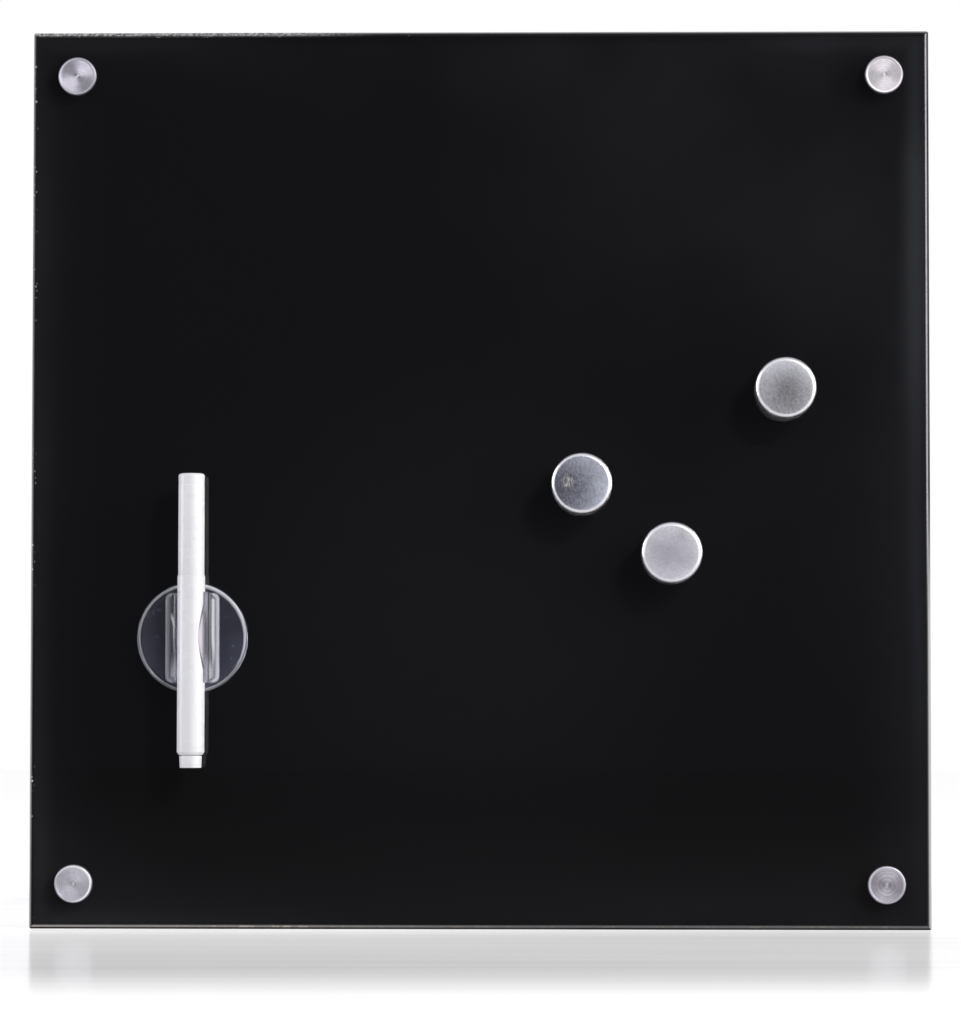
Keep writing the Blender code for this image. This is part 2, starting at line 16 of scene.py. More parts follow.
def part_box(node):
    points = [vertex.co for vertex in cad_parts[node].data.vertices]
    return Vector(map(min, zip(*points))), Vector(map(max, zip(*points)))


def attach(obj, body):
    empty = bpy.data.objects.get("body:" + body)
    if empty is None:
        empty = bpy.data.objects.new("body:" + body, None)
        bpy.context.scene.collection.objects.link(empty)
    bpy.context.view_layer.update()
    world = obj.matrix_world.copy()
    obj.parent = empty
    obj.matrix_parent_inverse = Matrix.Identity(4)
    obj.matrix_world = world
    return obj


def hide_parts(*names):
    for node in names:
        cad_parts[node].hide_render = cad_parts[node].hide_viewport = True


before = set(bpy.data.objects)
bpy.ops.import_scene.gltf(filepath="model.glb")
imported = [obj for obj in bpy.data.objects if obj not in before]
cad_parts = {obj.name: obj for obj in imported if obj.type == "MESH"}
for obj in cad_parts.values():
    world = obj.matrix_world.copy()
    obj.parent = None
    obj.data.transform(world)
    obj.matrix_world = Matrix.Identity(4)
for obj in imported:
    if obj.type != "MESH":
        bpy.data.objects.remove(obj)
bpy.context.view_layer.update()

# Gaps
rest_gap = 0.0003
fit_clearance = 0.0003

# Glass panel
half_side = 0.200
glass_back = 0.0151
glass_front = 0.0191
edge_rounding = 0.0019
glass_corner_radius = 0.0010
face_corner_radius = 0.0005
panel_hole_radius = 0.0061
panel_hole_arris = 0.0003

# Stand-off fixings
spacer_radius = 0.0085
spacer_length = 0.0120
spacer_floor = 0.0025
spacer_chamfer = 0.0006
spacer_relief_depth = 0.0004
thread_bore_radius = 0.0050
stud_radius = 0.0047
stud_end = 0.0055
front_washer = (0.0194, 0.0200)
rear_washer = (0.0123, 0.0133)
washer_radius = 0.0079
bush_radius = 0.0058
bush = (0.0136, 0.0191)
cap_back = 0.0203
cap_front = 0.0223
cap_radius = 0.0085
cap_chamfer = 0.0005

# Wall screw and plug
screw_hole_radius = 0.0023
screw_head_back = 0.0028
screw_head_front = 0.0052
screw_head_radius = 0.0039
screw_head_rim = 0.0009
screw_shank_radius = 0.0020
screw_length = 0.0300
screw_tip_length = 0.0040
plug_radius = 0.0032
plug_length = 0.0280
plug_collar_length = 0.0040
plug_barb_depth = 0.0005
plug_barb_count = 4
plug_slot_width = 0.0010
plug_slot_length = 0.0180

# Magnets
magnet_radius = 0.0135
magnet_height = 0.0140
magnet_front_rounding = 0.0018
magnet_back_chamfer = 0.0006
magnet_core_radius = 0.0100
magnet_core_height = 0.0050

# Pen clip, as heights above the glass
pad_radius = 0.0231
pad_front = 0.0011
foot_back = 0.0014
foot_front = 0.0034
foot_radius = 0.0246
foot_edge = 0.0005
bead_radius = 0.0007
plinth_width = 0.0241
plinth_length = 0.0400
plinth_front = 0.0046
plinth_corner = 0.0028
plinth_weld = 0.0006
pen_axis_height = 0.0110
arm_bore = 0.0064
arm_radius = 0.0075
arm_thin_radius = 0.0071
flare_foot = 0.0110
flare_edge = 0.0009
flare_angle = 25
lobe_half_length = 0.0150
left_wrap = (2, 20)
right_wrap = (27, 54)

# Pen, as levels from the seam between cap and barrel
barrel_radius = 0.0061
barrel_bore = 0.0051
barrel_top = -0.0003
barrel_bottom = -0.0793
neck_top = -0.0769
neck_radius = 0.0042
end_plug_radius = 0.0050
end_plug_top = -0.0796
end_plug_bottom = -0.0850
end_plug_spigot = 0.0018
pen_cap_radius = 0.0058
pen_cap_bore = 0.0049
pen_cap_top = 0.0452
pen_cap_crown = 0.0015
nose_bottom = -0.0083
nose_collar = 0.0100
nose_top = 0.0160
nose_tip_radius = 0.0030
nib_radius = 0.0020
nib_top = 0.0200

# Meshes: steps round an axis, sharp angles in degrees, softened corners and welded points
round_steps = 128
fine_steps = 192
plain_edge = 35
thread_edge = 30
thread_fullness = 0.8
soft_edge = 0.00015
soft_steps = 4
straight_corner = 155
most_of_side = 0.45
weld_reach = 0.000001
flat_facing = 0.999


def arc(centre_x, centre_y, radius, start, end, steps):
    """Points on an arc from the start angle to the end angle, in degrees, both ends included."""
    points = []
    for step in range(steps + 1):
        angle = math.radians(start + (end - start) * step / steps)
        points.append((centre_x + radius * math.cos(angle), centre_y + radius * math.sin(angle)))
    return points


def softened(section, radius, steps=soft_steps):
    """The same closed section with its sharp corners rounded off."""
    result = []
    count = len(section)
    for index, corner in enumerate(section):
        here = Vector(corner)
        back = Vector(section[index - 1]) - here
        ahead = Vector(section[(index + 1) % count]) - here
        on_axis = corner[0] == 0 or back.length == 0 or ahead.length == 0
        if on_axis or back.angle(ahead) > math.radians(straight_corner):
            result.append(corner)
            continue
        start = here + back.normalized() * min(radius, back.length * most_of_side)
        end = here + ahead.normalized() * min(radius, ahead.length * most_of_side)
        for step in range(steps + 1):
            t = step / steps
            result.append(tuple(start * (1 - t) ** 2 + here * (2 * t * (1 - t)) + end * t * t))
    return result


def softened_inside(points):
    """The points with their sharp corners rounded off, without the two ends."""
    return softened(points, soft_edge)[soft_steps + 1:-soft_steps - 1]


def divided(start, end, count):
    """Points from start to end, without the end."""
    (x0, y0), (x1, y1) = start, end
    return [(x0 + (x1 - x0) * i / count, y0 + (y1 - y0) * i / count) for i in range(count)]


def thread_cut(thread, angle, height):
    """How far a screw thread cuts into the surface at an angle and a height."""
    low, high, pitch, depth = thread
    turn = (height / pitch - angle / (2 * math.pi)) % 1
    fade = min(1, max(0, (height - low) / pitch), max(0, (high - height) / pitch))
    return depth * fade * (1 - abs(2 * turn - 1)) ** thread_fullness


def shade(mesh, angle=plain_edge):
    mesh.shade_smooth()
    mesh.set_sharp_from_angle(angle=math.radians(angle))


def finished(name, shape, angle=plain_edge):
    """Closes a bmesh off as a mesh with its faces pointing out."""
    bmesh.ops.recalc_face_normals(shape, faces=shape.faces)
    mesh = bpy.data.meshes.new(name)
    shape.to_mesh(mesh)
    shape.free()
    shade(mesh, angle)
    return mesh


def ring(shape, radius, height, steps, thread):
    if radius == 0:
        return [shape.verts.new((0, 0, height))]
    points = []
    for step in range(steps):
        angle = 2 * math.pi * step / steps
        here = radius
        if thread and thread[0] < height < thread[1]:
            here = radius - thread_cut(thread, angle, height)
        points.append(shape.verts.new((here * math.cos(angle), here * math.sin(angle), height)))
    return points


def join_rings(shape, rings):
    """Faces between rings that follow on each other. A ring may be a single point on the axis."""
    for lower, upper in zip(rings, rings[1:]):
        count = max(len(lower), len(upper))
        for here in range(count if count > 1 else 0):
            there = (here + 1) % count
            corners = [lower[here % len(lower)], lower[there % len(lower)]]
            corners += [upper[there % len(upper)], upper[here % len(upper)]]
            shape.faces.new(list(dict.fromkeys(corners)))


def turned(name, section, steps=round_steps, thread=None, threaded=(), angle=plain_edge,
           full_radius=None):
    """Turns a closed half section of (radius, height) points round local Z.

    A thread is cut along the segments that start at the listed points of the section, and it gets
    shallower where the radius is less than the full one.
    """
    shape = bmesh.new()
    rings = []
    for index, (radius, height) in enumerate(section):
        cut = thread if index in threaded else None
        if cut and full_radius:
            cut = (*thread[:3], thread[3] * (radius / full_radius))
        rings.append(ring(shape, radius, height, steps, cut))
    join_rings(shape, rings + rings[:1])
    return finished(name, shape, angle)


def add_loft(shape, sections):
    """Joins outlines of as many points each, and closes the two ends."""
    loops = [[shape.verts.new(point) for point in section] for section in sections]
    join_rings(shape, loops)
    shape.faces.new(loops[0])
    shape.faces.new(loops[-1])


def lofted(name, sections):
    shape = bmesh.new()
    add_loft(shape, sections)
    return finished(name, shape)


def placed(name, data):
    """A new object in the scene."""
    thing = bpy.data.objects.new(name, data)
    bpy.context.scene.collection.objects.link(thing)
    return thing


def combined(name, mesh, other_mesh, operation, angle=plain_edge):
    """The mesh joined to the other or cut by it, as a new mesh."""
    body = placed(name + "_body", mesh)
    other = placed(name + "_other", other_mesh)
    boolean = body.modifiers.new("shape", "BOOLEAN")
    boolean.solver = "EXACT"
    boolean.operation = operation
    boolean.object = other
    bpy.context.view_layer.update()
    evaluated = body.evaluated_get(bpy.context.evaluated_depsgraph_get())
    result = bpy.data.meshes.new_from_object(evaluated)
    result.name = name
    shape = bmesh.new()
    shape.from_mesh(result)
    bmesh.ops.remove_doubles(shape, verts=shape.verts, dist=weld_reach)
    shape.to_mesh(result)
    shape.free()
    shade(result, angle)
    for thing in (body, other):
        bpy.data.objects.remove(thing)
    return result


def place_of(node):
    """The middle of a CAD node's box."""
    low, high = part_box(node)
    return (low + high) / 2


def add(name, mesh, material, body, place, spin=None, node=None, slot=None):
    """One piece of the object in place of a CAD node, riding on its body.

    A piece with a spin, in degrees, is turned by it round its axis and then upright. The node is
    named as the piece where it isn't given. The slot is worked out from the material where it isn't
    given, but not used. A material's name ends with a dot and a number where the frame already has
    one of that name.
    """
    piece = placed(name, mesh)
    if not mesh.materials:
        mesh.materials.append(material)
    piece.matrix_world = Matrix.Translation(place)
    if spin is not None:
        upright = Matrix.Rotation(math.radians(90), 4, "X")
        piece.matrix_world @= upright @ Matrix.Rotation(math.radians(spin), 4, "Z")
    node = node or name.replace(".", "_")
    slot = slot or material.name.partition(".")[0]
    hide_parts(node)
    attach(piece, body)


class Nodes:
    """The node tree of a new material, or of the world, written shortly.

    A tuple that starts with a socket stands for a smooth spread: the socket, its low and high
    value, and what these two become, which is 0 and 1 where it isn't said.
    """

    def __init__(self, owner):
        if isinstance(owner, str):
            owner = bpy.data.materials.new(owner)
        owner.use_nodes = True
        self.material = owner
        self.tree = owner.node_tree
        self.shader = self.tree.nodes.get("Principled BSDF")
        self.coordinates = self.node("ShaderNodeTexCoord").outputs
        self.object = self.coordinates["Object"]

    def put(self, socket, value):
        """Links or sets a socket."""
        if isinstance(value, tuple) and isinstance(value[0], bpy.types.NodeSocket):
            value = self.spread(*value)
        if isinstance(value, bpy.types.NodeSocket):
            self.tree.links.new(value, socket)
        else:
            socket.default_value = (*value, 1.0) if socket.type == "RGBA" else value

    def node(self, kind, *values, **settings):
        """A new node with values on its first sockets."""
        made = self.tree.nodes.new(kind)
        for key, value in settings.items():
            setattr(made, key, value)
        for socket, value in zip(made.inputs, values):
            self.put(socket, value)
        return made

    def out(self, kind, *values, **settings):
        return self.node(kind, *values, **settings).outputs[0]

    def fill(self, node, **values):
        """Values on the sockets with these names, and the node's outputs."""
        for name, value in values.items():
            self.put(node.inputs[name.replace("_", " ")], value)
        return node.outputs

    def maths(self, operation, *values, clamp=False):
        """The operation on one or two values, or on more of them from left to right."""
        if len(values) > 2:
            values = (self.maths(operation, *values[:-1]), values[-1])
        return self.out("ShaderNodeMath", *values, operation=operation, use_clamp=clamp)

    times = partialmethod(maths, "MULTIPLY")
    over = partialmethod(maths, "DIVIDE")
    plus = partialmethod(maths, "ADD")
    minus = partialmethod(maths, "SUBTRACT")
    larger = partialmethod(maths, "MAXIMUM")
    power = partialmethod(maths, "POWER")
    size = partialmethod(maths, "ABSOLUTE")

    def length(self, x, y):
        return self.maths("SQRT", self.plus(self.times(x, x), self.times(y, y)))

    def scaled(self, vector, scale):
        return self.out("ShaderNodeVectorMath", vector, scale, operation="MULTIPLY")

    def parts(self, vector):
        return self.node("ShaderNodeSeparateXYZ", vector).outputs

    def facing(self):
        """How much the surface faces along local Z, either way."""
        return self.size(self.parts(self.coordinates["Normal"])[2])

    def noise(self, scale, detail=3.0, roughness=0.55, vector=None, **more):
        sockets = {"Vector": vector or self.object, "Scale": scale, "Detail": detail}
        texture = self.node("ShaderNodeTexNoise")
        return self.fill(texture, Roughness=roughness, **sockets, **more)["Fac"]

    def cells(self, scale, vector=None, output="Distance"):
        texture = self.node("ShaderNodeTexVoronoi")
        return self.fill(texture, Vector=vector or self.object, Scale=scale)[output]

    def spread(self, value, low, high, to_low=0.0, to_high=1.0, kind="SMOOTHSTEP"):
        values = (value, low, high, to_low, to_high)
        return self.out("ShaderNodeMapRange", *values, interpolation_type=kind)

    def blend(self, share, first, second):
        made = self.node("ShaderNodeMix", share, data_type="RGBA")
        self.put(made.inputs[6], first)
        self.put(made.inputs[7], second)
        return made.outputs[2]

    def bump(self, height, strength, distance):
        texture = self.node("ShaderNodeBump")
        return self.fill(texture, Strength=strength, Distance=distance, Height=height)[0]

    def finish(self, colour, roughness, normal=None, **constants):
        """The material, with its shader filled in."""
        self.fill(self.shader, Base_Color=colour, Roughness=roughness, **constants)
        if normal:
            self.fill(self.shader, Normal=normal)
        return self.material

    def show(self, surface):
        self.put(self.tree.nodes["Material Output"].inputs["Surface"], surface)

    def let_lamps_through(self, *tint):
        """Lets the light of lamps pass a clear piece, so that what lies behind it is lit."""
        shadow = self.node("ShaderNodeLightPath").outputs["Is Shadow Ray"]
        clear = self.out("ShaderNodeBsdfTransparent", tint)
        self.show(self.out("ShaderNodeMixShader", shadow, self.shader.outputs[0], clear))
        return self.material


def clear_glass():
    """The clear body of the pane: a faint green, dust and wiped streaks in its gloss."""
    n = Nodes("clear_glass")
    streaks = n.noise(9, detail=4, vector=n.scaled(n.object, (1.0, 1.0, 0.35)))
    smears = (streaks, 0.45, 0.75, 0.004, 0.03)
    n.finish((0.94, 0.97, 0.96), smears, Transmission_Weight=1.0, IOR=1.52)
    return n.let_lamps_through(1.0, 1.0, 1.0)


def glass_lacquer():
    """The black lacquer on the back of the pane, with dust and with painted light: paler bands
    towards its edges, a sheen towards the upper right, a pale spot near the middle, a paler lower
    left corner and a lit strip by the right edge.
    """
    n = Nodes("glass_lacquer")
    x, y = n.parts(n.object)[:2]
    across, up = n.size(x), n.size(y)
    cloud = n.noise(7, detail=5)
    # Painted light: paler bands along the edges, strongest low on the left, high on the right, at
    # the left of the bottom and at the ends of the top.
    middle_top = n.times((across, 0.06, 0.13, 1.0, 0.0), (y, 0.1, 0.15))
    wide = n.times((n.larger(across, up), 0.165, 0.2, 0.0, 0.30), n.minus(1.0, middle_top))
    left, right = (y, -0.12, 0.08, 1.10, 0.50), (y, -0.17, 0.14, 0.35, 2.20)
    side_glow = n.times((across, 0.188, 0.1985), n.blend((x, -0.1, 0.1), left, right))
    below, above = (x, -0.18, 0.02, 0.60, 0.0), (across, 0.10, 0.17)
    end_glow = n.times((up, 0.188, 0.1985), n.blend((y, -0.1, 0.1), below, above))
    tone = n.times(n.plus(wide, n.larger(side_glow, end_glow)), (cloud, 0.3, 0.7, 0.55, 1.05))
    # Painted light: a sheen towards the upper right, a pale spot near the middle and a paler lower
    # left corner.
    sheen = n.times((n.plus(x, y), 0.0, 0.36), (cloud, 0.35, 0.65), 0.5)
    middle = (-0.01, -0.06, glass_back)
    from_middle = n.node("ShaderNodeVectorMath", n.object, middle, operation="DISTANCE")
    spot = (from_middle.outputs["Value"], 0.02, 0.15, 0.25, 0.0)
    corner = (n.plus(x, y), -0.39, -0.29, 0.30, 0.0)
    tone = n.plus(tone, sheen, spot, corner, clamp=True)
    # The tone runs from the lacquer's black up to a paler black, the colour of the painted light.
    base = n.blend(tone, (0.0045, 0.0045, 0.0052), (0.0190, 0.0190, 0.0225))
    # Painted light: a lit strip along the right edge, from the middle upwards.
    lit = n.times((x, 0.184, 0.1975), (y, -0.02, 0.09), (y, 0.13, 0.17, 1.0, 0.1))
    base = n.blend(lit, base, (0.034, 0.034, 0.038))
    dust = n.times((n.cells(420), 0.030, 0.055, 1.0, 0.0), (n.noise(60, detail=2), 0.56, 0.62))
    return n.finish(n.blend(dust, base, (0.045, 0.045, 0.050)), 0.6, Specular_IOR_Level=0.0)


def ground_edge():
    """The pencil-ground rim of the glass: frosted, chipped and speckled.

    Its pale and dark bands are painted reflection and shade. From the flat of the glass outwards it
    is pale then dark at the bottom and up the right, dark then pale on the left and low on the
    right, speckled at the top left and dark at the top right.
    """
    n = Nodes("ground_edge")
    x, y = n.parts(n.object)[:2]
    across, up = n.size(x), n.size(y)
    flat_end = half_side - edge_rounding
    out = n.spread(n.larger(across, up), flat_end, half_side, 0.0, 1.0, "LINEAR")
    fine = n.noise(900, detail=4, roughness=0.7)
    sides = n.maths("GREATER_THAN", across, up)
    left = n.maths("LESS_THAN", x, 0.0)
    top = n.maths("GREATER_THAN", y, 0.0)
    # Painted reflection and shade: black, pale and dark are the colours of the rim's bands.
    black = (0.010, 0.010, 0.011)
    pale = n.blend((fine, 0.3, 0.7), (0.30, 0.29, 0.31), (0.46, 0.44, 0.46))
    patches = (n.noise(18, detail=3), 0.4, 0.65)
    dark = n.blend(patches, (0.020, 0.020, 0.022), (0.050, 0.050, 0.054))

    # Painted reflection on the right: dark, pale, then dark outwards up high, and dark then pale
    # low down.
    right_upper_painted_bands = n.blend((out, 0.40, 0.54), pale, dark)
    right_upper_painted_bands = n.blend((out, 0.06, 0.16), dark, right_upper_painted_bands)
    right_lower_painted_bands = n.blend((out, 0.10, 0.60), (0.03, 0.03, 0.03), (0.40, 0.39, 0.39))
    right = n.blend((y, -0.07, 0.0), right_lower_painted_bands, right_upper_painted_bands)
    # Painted reflection on the left: black then pale outwards, paler low down.
    left_painted_reflection = n.blend((y, -0.15, 0.10), (0.44, 0.42, 0.41), (0.26, 0.25, 0.25))
    upright = n.blend(left, right, n.blend((out, 0.32, 0.85), black, left_painted_reflection))

    # Top and bottom: speckled at the top left, and painted reflection bands of black then grey at
    # the top right and of pale then dark along the bottom, paler on the left.
    speckles = (n.noise(800, detail=4), 0.38, 0.62)
    speckled = n.blend(speckles, (0.10, 0.10, 0.10), (0.50, 0.48, 0.49))
    speckled = n.blend((out, 0.05, 0.35), dark, speckled)
    top_painted_bands = n.blend((out, 0.40, 0.90), black, (0.32, 0.32, 0.32))
    upper = n.blend((x, -0.10, -0.04), speckled, top_painted_bands)
    lower_painted_reflection = n.blend((x, -0.20, 0.05), (0.42, 0.40, 0.395), (0.16, 0.155, 0.155))
    lower_painted_reflection = n.blend((out, 0.0, 0.28), (0.10, 0.095, 0.095), lower_painted_reflection)
    lower = n.blend((out, 0.46, 0.62), lower_painted_reflection, dark)
    colour = n.blend(sides, n.blend(top, lower, upper), upright)

    chips = n.times(
        (n.cells(380), 0.10, 0.26, 1.0, 0.0), (n.noise(45), 0.52, 0.62), (x, -0.06, 0.02, 0.7, 0.05)
    )
    colour = n.blend(chips, colour, (0.80, 0.72, 0.74))
    nicks = n.times(
        (n.noise(260, detail=4, roughness=0.7), 0.50, 0.60),
        (n.size(n.plus(x, 0.105)), 0.02, 0.04, 0.8, 0.1),
        (out, 0.10, 0.25),
        (out, 0.40, 0.60, 1.0, 0.0),
        (y, -flat_end, -0.1975, 1.0, 0.0),
    )
    colour = n.blend(nicks, colour, (0.72, 0.62, 0.50))
    roughness = (fine, 0.3, 0.7, 0.35, 0.60)
    n.finish(colour, roughness, n.bump(fine, 0.5, 0.0001), IOR=1.52, Specular_IOR_Level=0.05)
    return n.let_lamps_through(0.85, 0.87, 0.86)


def back_lacquer():
    """The black coat behind the glass: sprayed, with fine orange peel."""
    n = Nodes("back_lacquer")
    cloud = n.noise(11, detail=4)
    colour = n.blend(cloud, (0.008, 0.008, 0.009), (0.020, 0.020, 0.023))
    peel = n.bump(n.noise(650, detail=2), 0.3, 0.0001)
    return n.finish(colour, (cloud, 0.3, 0.7, 0.32, 0.5), peel)


def zinc_sheet():
    """Hot-dipped steel sheet: zinc spangle, rolling lines and a few handling marks."""
    n = Nodes("galvanised_sheet")
    warp = n.scaled(n.noise(90, detail=4), (0.010, 0.010, 0.010))
    warped = n.out("ShaderNodeVectorMath", n.object, warp, operation="ADD")
    flowers = n.parts(n.cells(95, vector=warped, output="Color"))[0]
    leaf = n.plus(n.times(flowers, 0.6), n.times(n.noise(240, detail=5, roughness=0.7), 0.4))
    grain = n.noise(3, detail=5, vector=n.scaled(n.object, (260.0, 1.0, 6.0)))
    colour = n.blend(leaf, (0.33, 0.34, 0.36), (0.50, 0.51, 0.53))
    colour = n.blend((grain, 0.35, 0.75, 0.0, 0.35), colour, (0.62, 0.63, 0.64))
    marks = n.spread(n.noise(5, detail=6, roughness=0.7, Distortion=1.5), 0.62, 0.72, 0.0, 0.3)
    colour = n.blend(marks, colour, (0.24, 0.24, 0.26))
    rough = n.plus((leaf, 0.0, 1.0, 0.30, 0.50), n.times(marks, 0.5))
    return n.finish(colour, rough, n.bump(grain, 0.15, 0.0002), Metallic=1.0)


def turned_metal(name, pale, dark, rough, ring_pitch, streak=0.35, anisotropy=0.75, sectors=None):
    """Satin metal turned on a lathe: rings round its axis, fine wear, and painted light where
    sectors are given: light and dark sectors, a paler rim and darker walls.

    The sectors, which are painted light, are the angle of the pale pair, how far they stand out,
    the angle of the rim's palest place, and the rim's lowest and highest tone.
    """
    n = Nodes(name)
    x, y, z = n.parts(n.object)
    radius = n.length(x, y)
    angle = n.maths("ARCTAN2", y, x)
    texture = n.node("ShaderNodeTexNoise", noise_dimensions="1D")
    rings = n.fill(texture, W=n.over(radius, ring_pitch), Scale=1.0, Detail=3.0)["Fac"]
    outwards = n.over(radius, ring_pitch * 2)
    forwards = n.over(z, ring_pitch * 4)
    polar = n.out("ShaderNodeCombineXYZ", n.times(angle, 0.9), outwards, forwards)
    brushed = n.noise(1.0, detail=4, roughness=0.6, vector=polar)
    colour = n.blend((rings, 0.3, 0.7), dark, pale)
    colour = n.blend((brushed, 0.35, 0.65, 0.0, streak), colour, pale)
    colour = n.blend((n.noise(160, detail=4), 0.5, 0.8, 0.0, 0.25), colour, dark)
    # Painted light: sectors, a paler rim, a darker ring round the pip and a darker outer wall.
    if sectors:
        colour = with_painted_light(n, colour, radius, angle, *sectors)
    roughness = (rings, 0.3, 0.7, rough - 0.05, rough + 0.06)
    normal = n.bump(n.plus(rings, n.times(brushed, 0.4)), 0.25, 0.00006)
    tangent = n.out("ShaderNodeTangent", direction_type="RADIAL", axis="Z")
    turning = {"Anisotropic": anisotropy, "Anisotropic_Rotation": 0.25, "Tangent": tangent}
    return n.finish(colour, roughness, normal, Metallic=1.0, **turning)


def painted_highlight_lobes(n, angle, turn, pairs, low, high):
    """A tone of painted highlights that swings from low to high round the axis, highest at the
    turn, in degrees.
    """
    turned_by = n.minus(angle, math.radians(turn))
    return n.spread(n.maths("COSINE", n.times(turned_by, pairs)), -1.0, 1.0, low, high)


def with_painted_light(n, colour, radius, angle, turn, depth, rim_turn, rim_low, rim_high):
    """The colour with painted light: pale sectors as painted highlights, a painted shade ring round
    the pip, a paler rim as a painted highlight and a painted shade on the outer wall.
    """
    grain = (n.noise(700, detail=3), 0.3, 0.7, 0.93, 1.07)
    # Painted shade: a darker ring in the dimple round the pip.
    dimple = (n.size(n.minus(radius, 0.0011)), 0.0002, 0.0006, 0.80, 1.0)
    # Painted highlights: a pale pair of sectors across the face.
    face = n.times(painted_highlight_lobes(n, angle, turn, 2.0, 1.0 - depth, 1.0 + depth), grain, dimple)
    # Painted highlight: the rim is paler, palest towards the rim's turn.
    rim = n.times((radius, 0.0070, 0.0074), (radius, 0.0079, 0.0082, 1.0, 0.0))
    tone = n.blend(rim, face, painted_highlight_lobes(n, angle, rim_turn, 1.0, rim_low, rim_high))
    # Painted shade: the outer wall and chamfer, facing sideways, are darker.
    tone = n.times(tone, (n.facing(), 0.72, 0.97, 0.34, 1.0))
    return n.fill(n.node("ShaderNodeVectorMath", colour, operation="SCALE"), Scale=tone)[0]


def worn_magnet(name, pale, dark, rough, scratch_share, seed, painted_slope, painted_bowl):
    """Satin magnet metal with clouds, fine brushing, a few bright scratches and a polished rim that
    is also painted paler, a painted reflection.

    The face's tone runs along painted_slope (x, y, middle), and painted_bowl makes it paler
    outwards: both are painted reflection.
    """
    n = Nodes(name)
    x, y = n.parts(n.object)[:2]
    shift = (seed, seed * 1.7, 0.0)
    here = n.out("ShaderNodeVectorMath", n.object, shift, operation="ADD")
    turn = n.fill(n.node("ShaderNodeMapping", here), Rotation=(0.0, 0.0, 0.6 + seed * 3))[0]
    brushed = n.noise(1.0, detail=4, vector=n.scaled(turn, (420.0, 1500.0, 420.0)))
    cloud = n.noise(85, detail=5, roughness=0.65, vector=here)
    nicks = n.noise(1.0, detail=2, vector=n.scaled(turn, (420.0, 2600.0, 420.0)))
    spot = n.length(n.plus(x, 0.0062), n.minus(y, 0.0006))
    scratches = n.times((nicks, 0.52, 0.60, 0.0, scratch_share), (spot, 0.0012, 0.0036, 1.0, 0.0))
    share = n.over(n.length(x, y), magnet_radius)
    # Painted reflection: the tone slopes across the face and grows paler outwards, and clouds and
    # brushing vary it at random.
    tone = n.plus(
        n.times(x, painted_slope[0] / magnet_radius),
        painted_slope[2],
        n.times(y, painted_slope[1] / magnet_radius),
        n.times(n.power(share, 1.6), painted_bowl),
        (cloud, 0.3, 0.7, -0.10, 0.10),
        (n.noise(30, detail=2, vector=here), 0.3, 0.7, -0.06, 0.06),
        (brushed, 0.3, 0.7, -0.12, 0.12),
        (n.noise(1100, detail=2, vector=here), 0.3, 0.7, -0.12, 0.12),
        clamp=True,
    )
    colour = n.blend(tone, dark, pale)
    colour = n.blend(scratches, colour, (0.98, 0.94, 0.86))
    facing = n.facing()
    # Painted reflection: the rounded rim and the side, facing away from the front, are painted
    # paler.
    colour = n.blend((facing, 0.82, 0.97, 1.0, 0.0), colour, (0.76, 0.75, 0.78))
    gloss = (cloud, 0.3, 0.7, rough + 0.06, rough - 0.05)
    roughness = n.times(gloss, (facing, 0.80, 0.97, 0.72, 1.0))
    normal = n.bump(n.plus(brushed, n.times(scratches, 2.0)), 0.12, 0.00005)
    return n.finish(colour, roughness, normal, Metallic=1.0)


def moulded_plastic(name, colour, shadow, rough):
    """Injection-moulded plastic: fine texture, faint flow clouds, slight uneven gloss."""
    n = Nodes(name)
    flow = n.noise(38, detail=4, vector=n.scaled(n.object, (1.0, 1.0, 0.4)))
    tone = n.blend((flow, 0.35, 0.75), colour, shadow)
    roughness = (n.noise(120), 0.3, 0.7, rough - 0.04, rough + 0.07)
    return n.finish(tone, roughness, n.bump(n.noise(900, detail=3), 0.06, 0.0001), IOR=1.50)


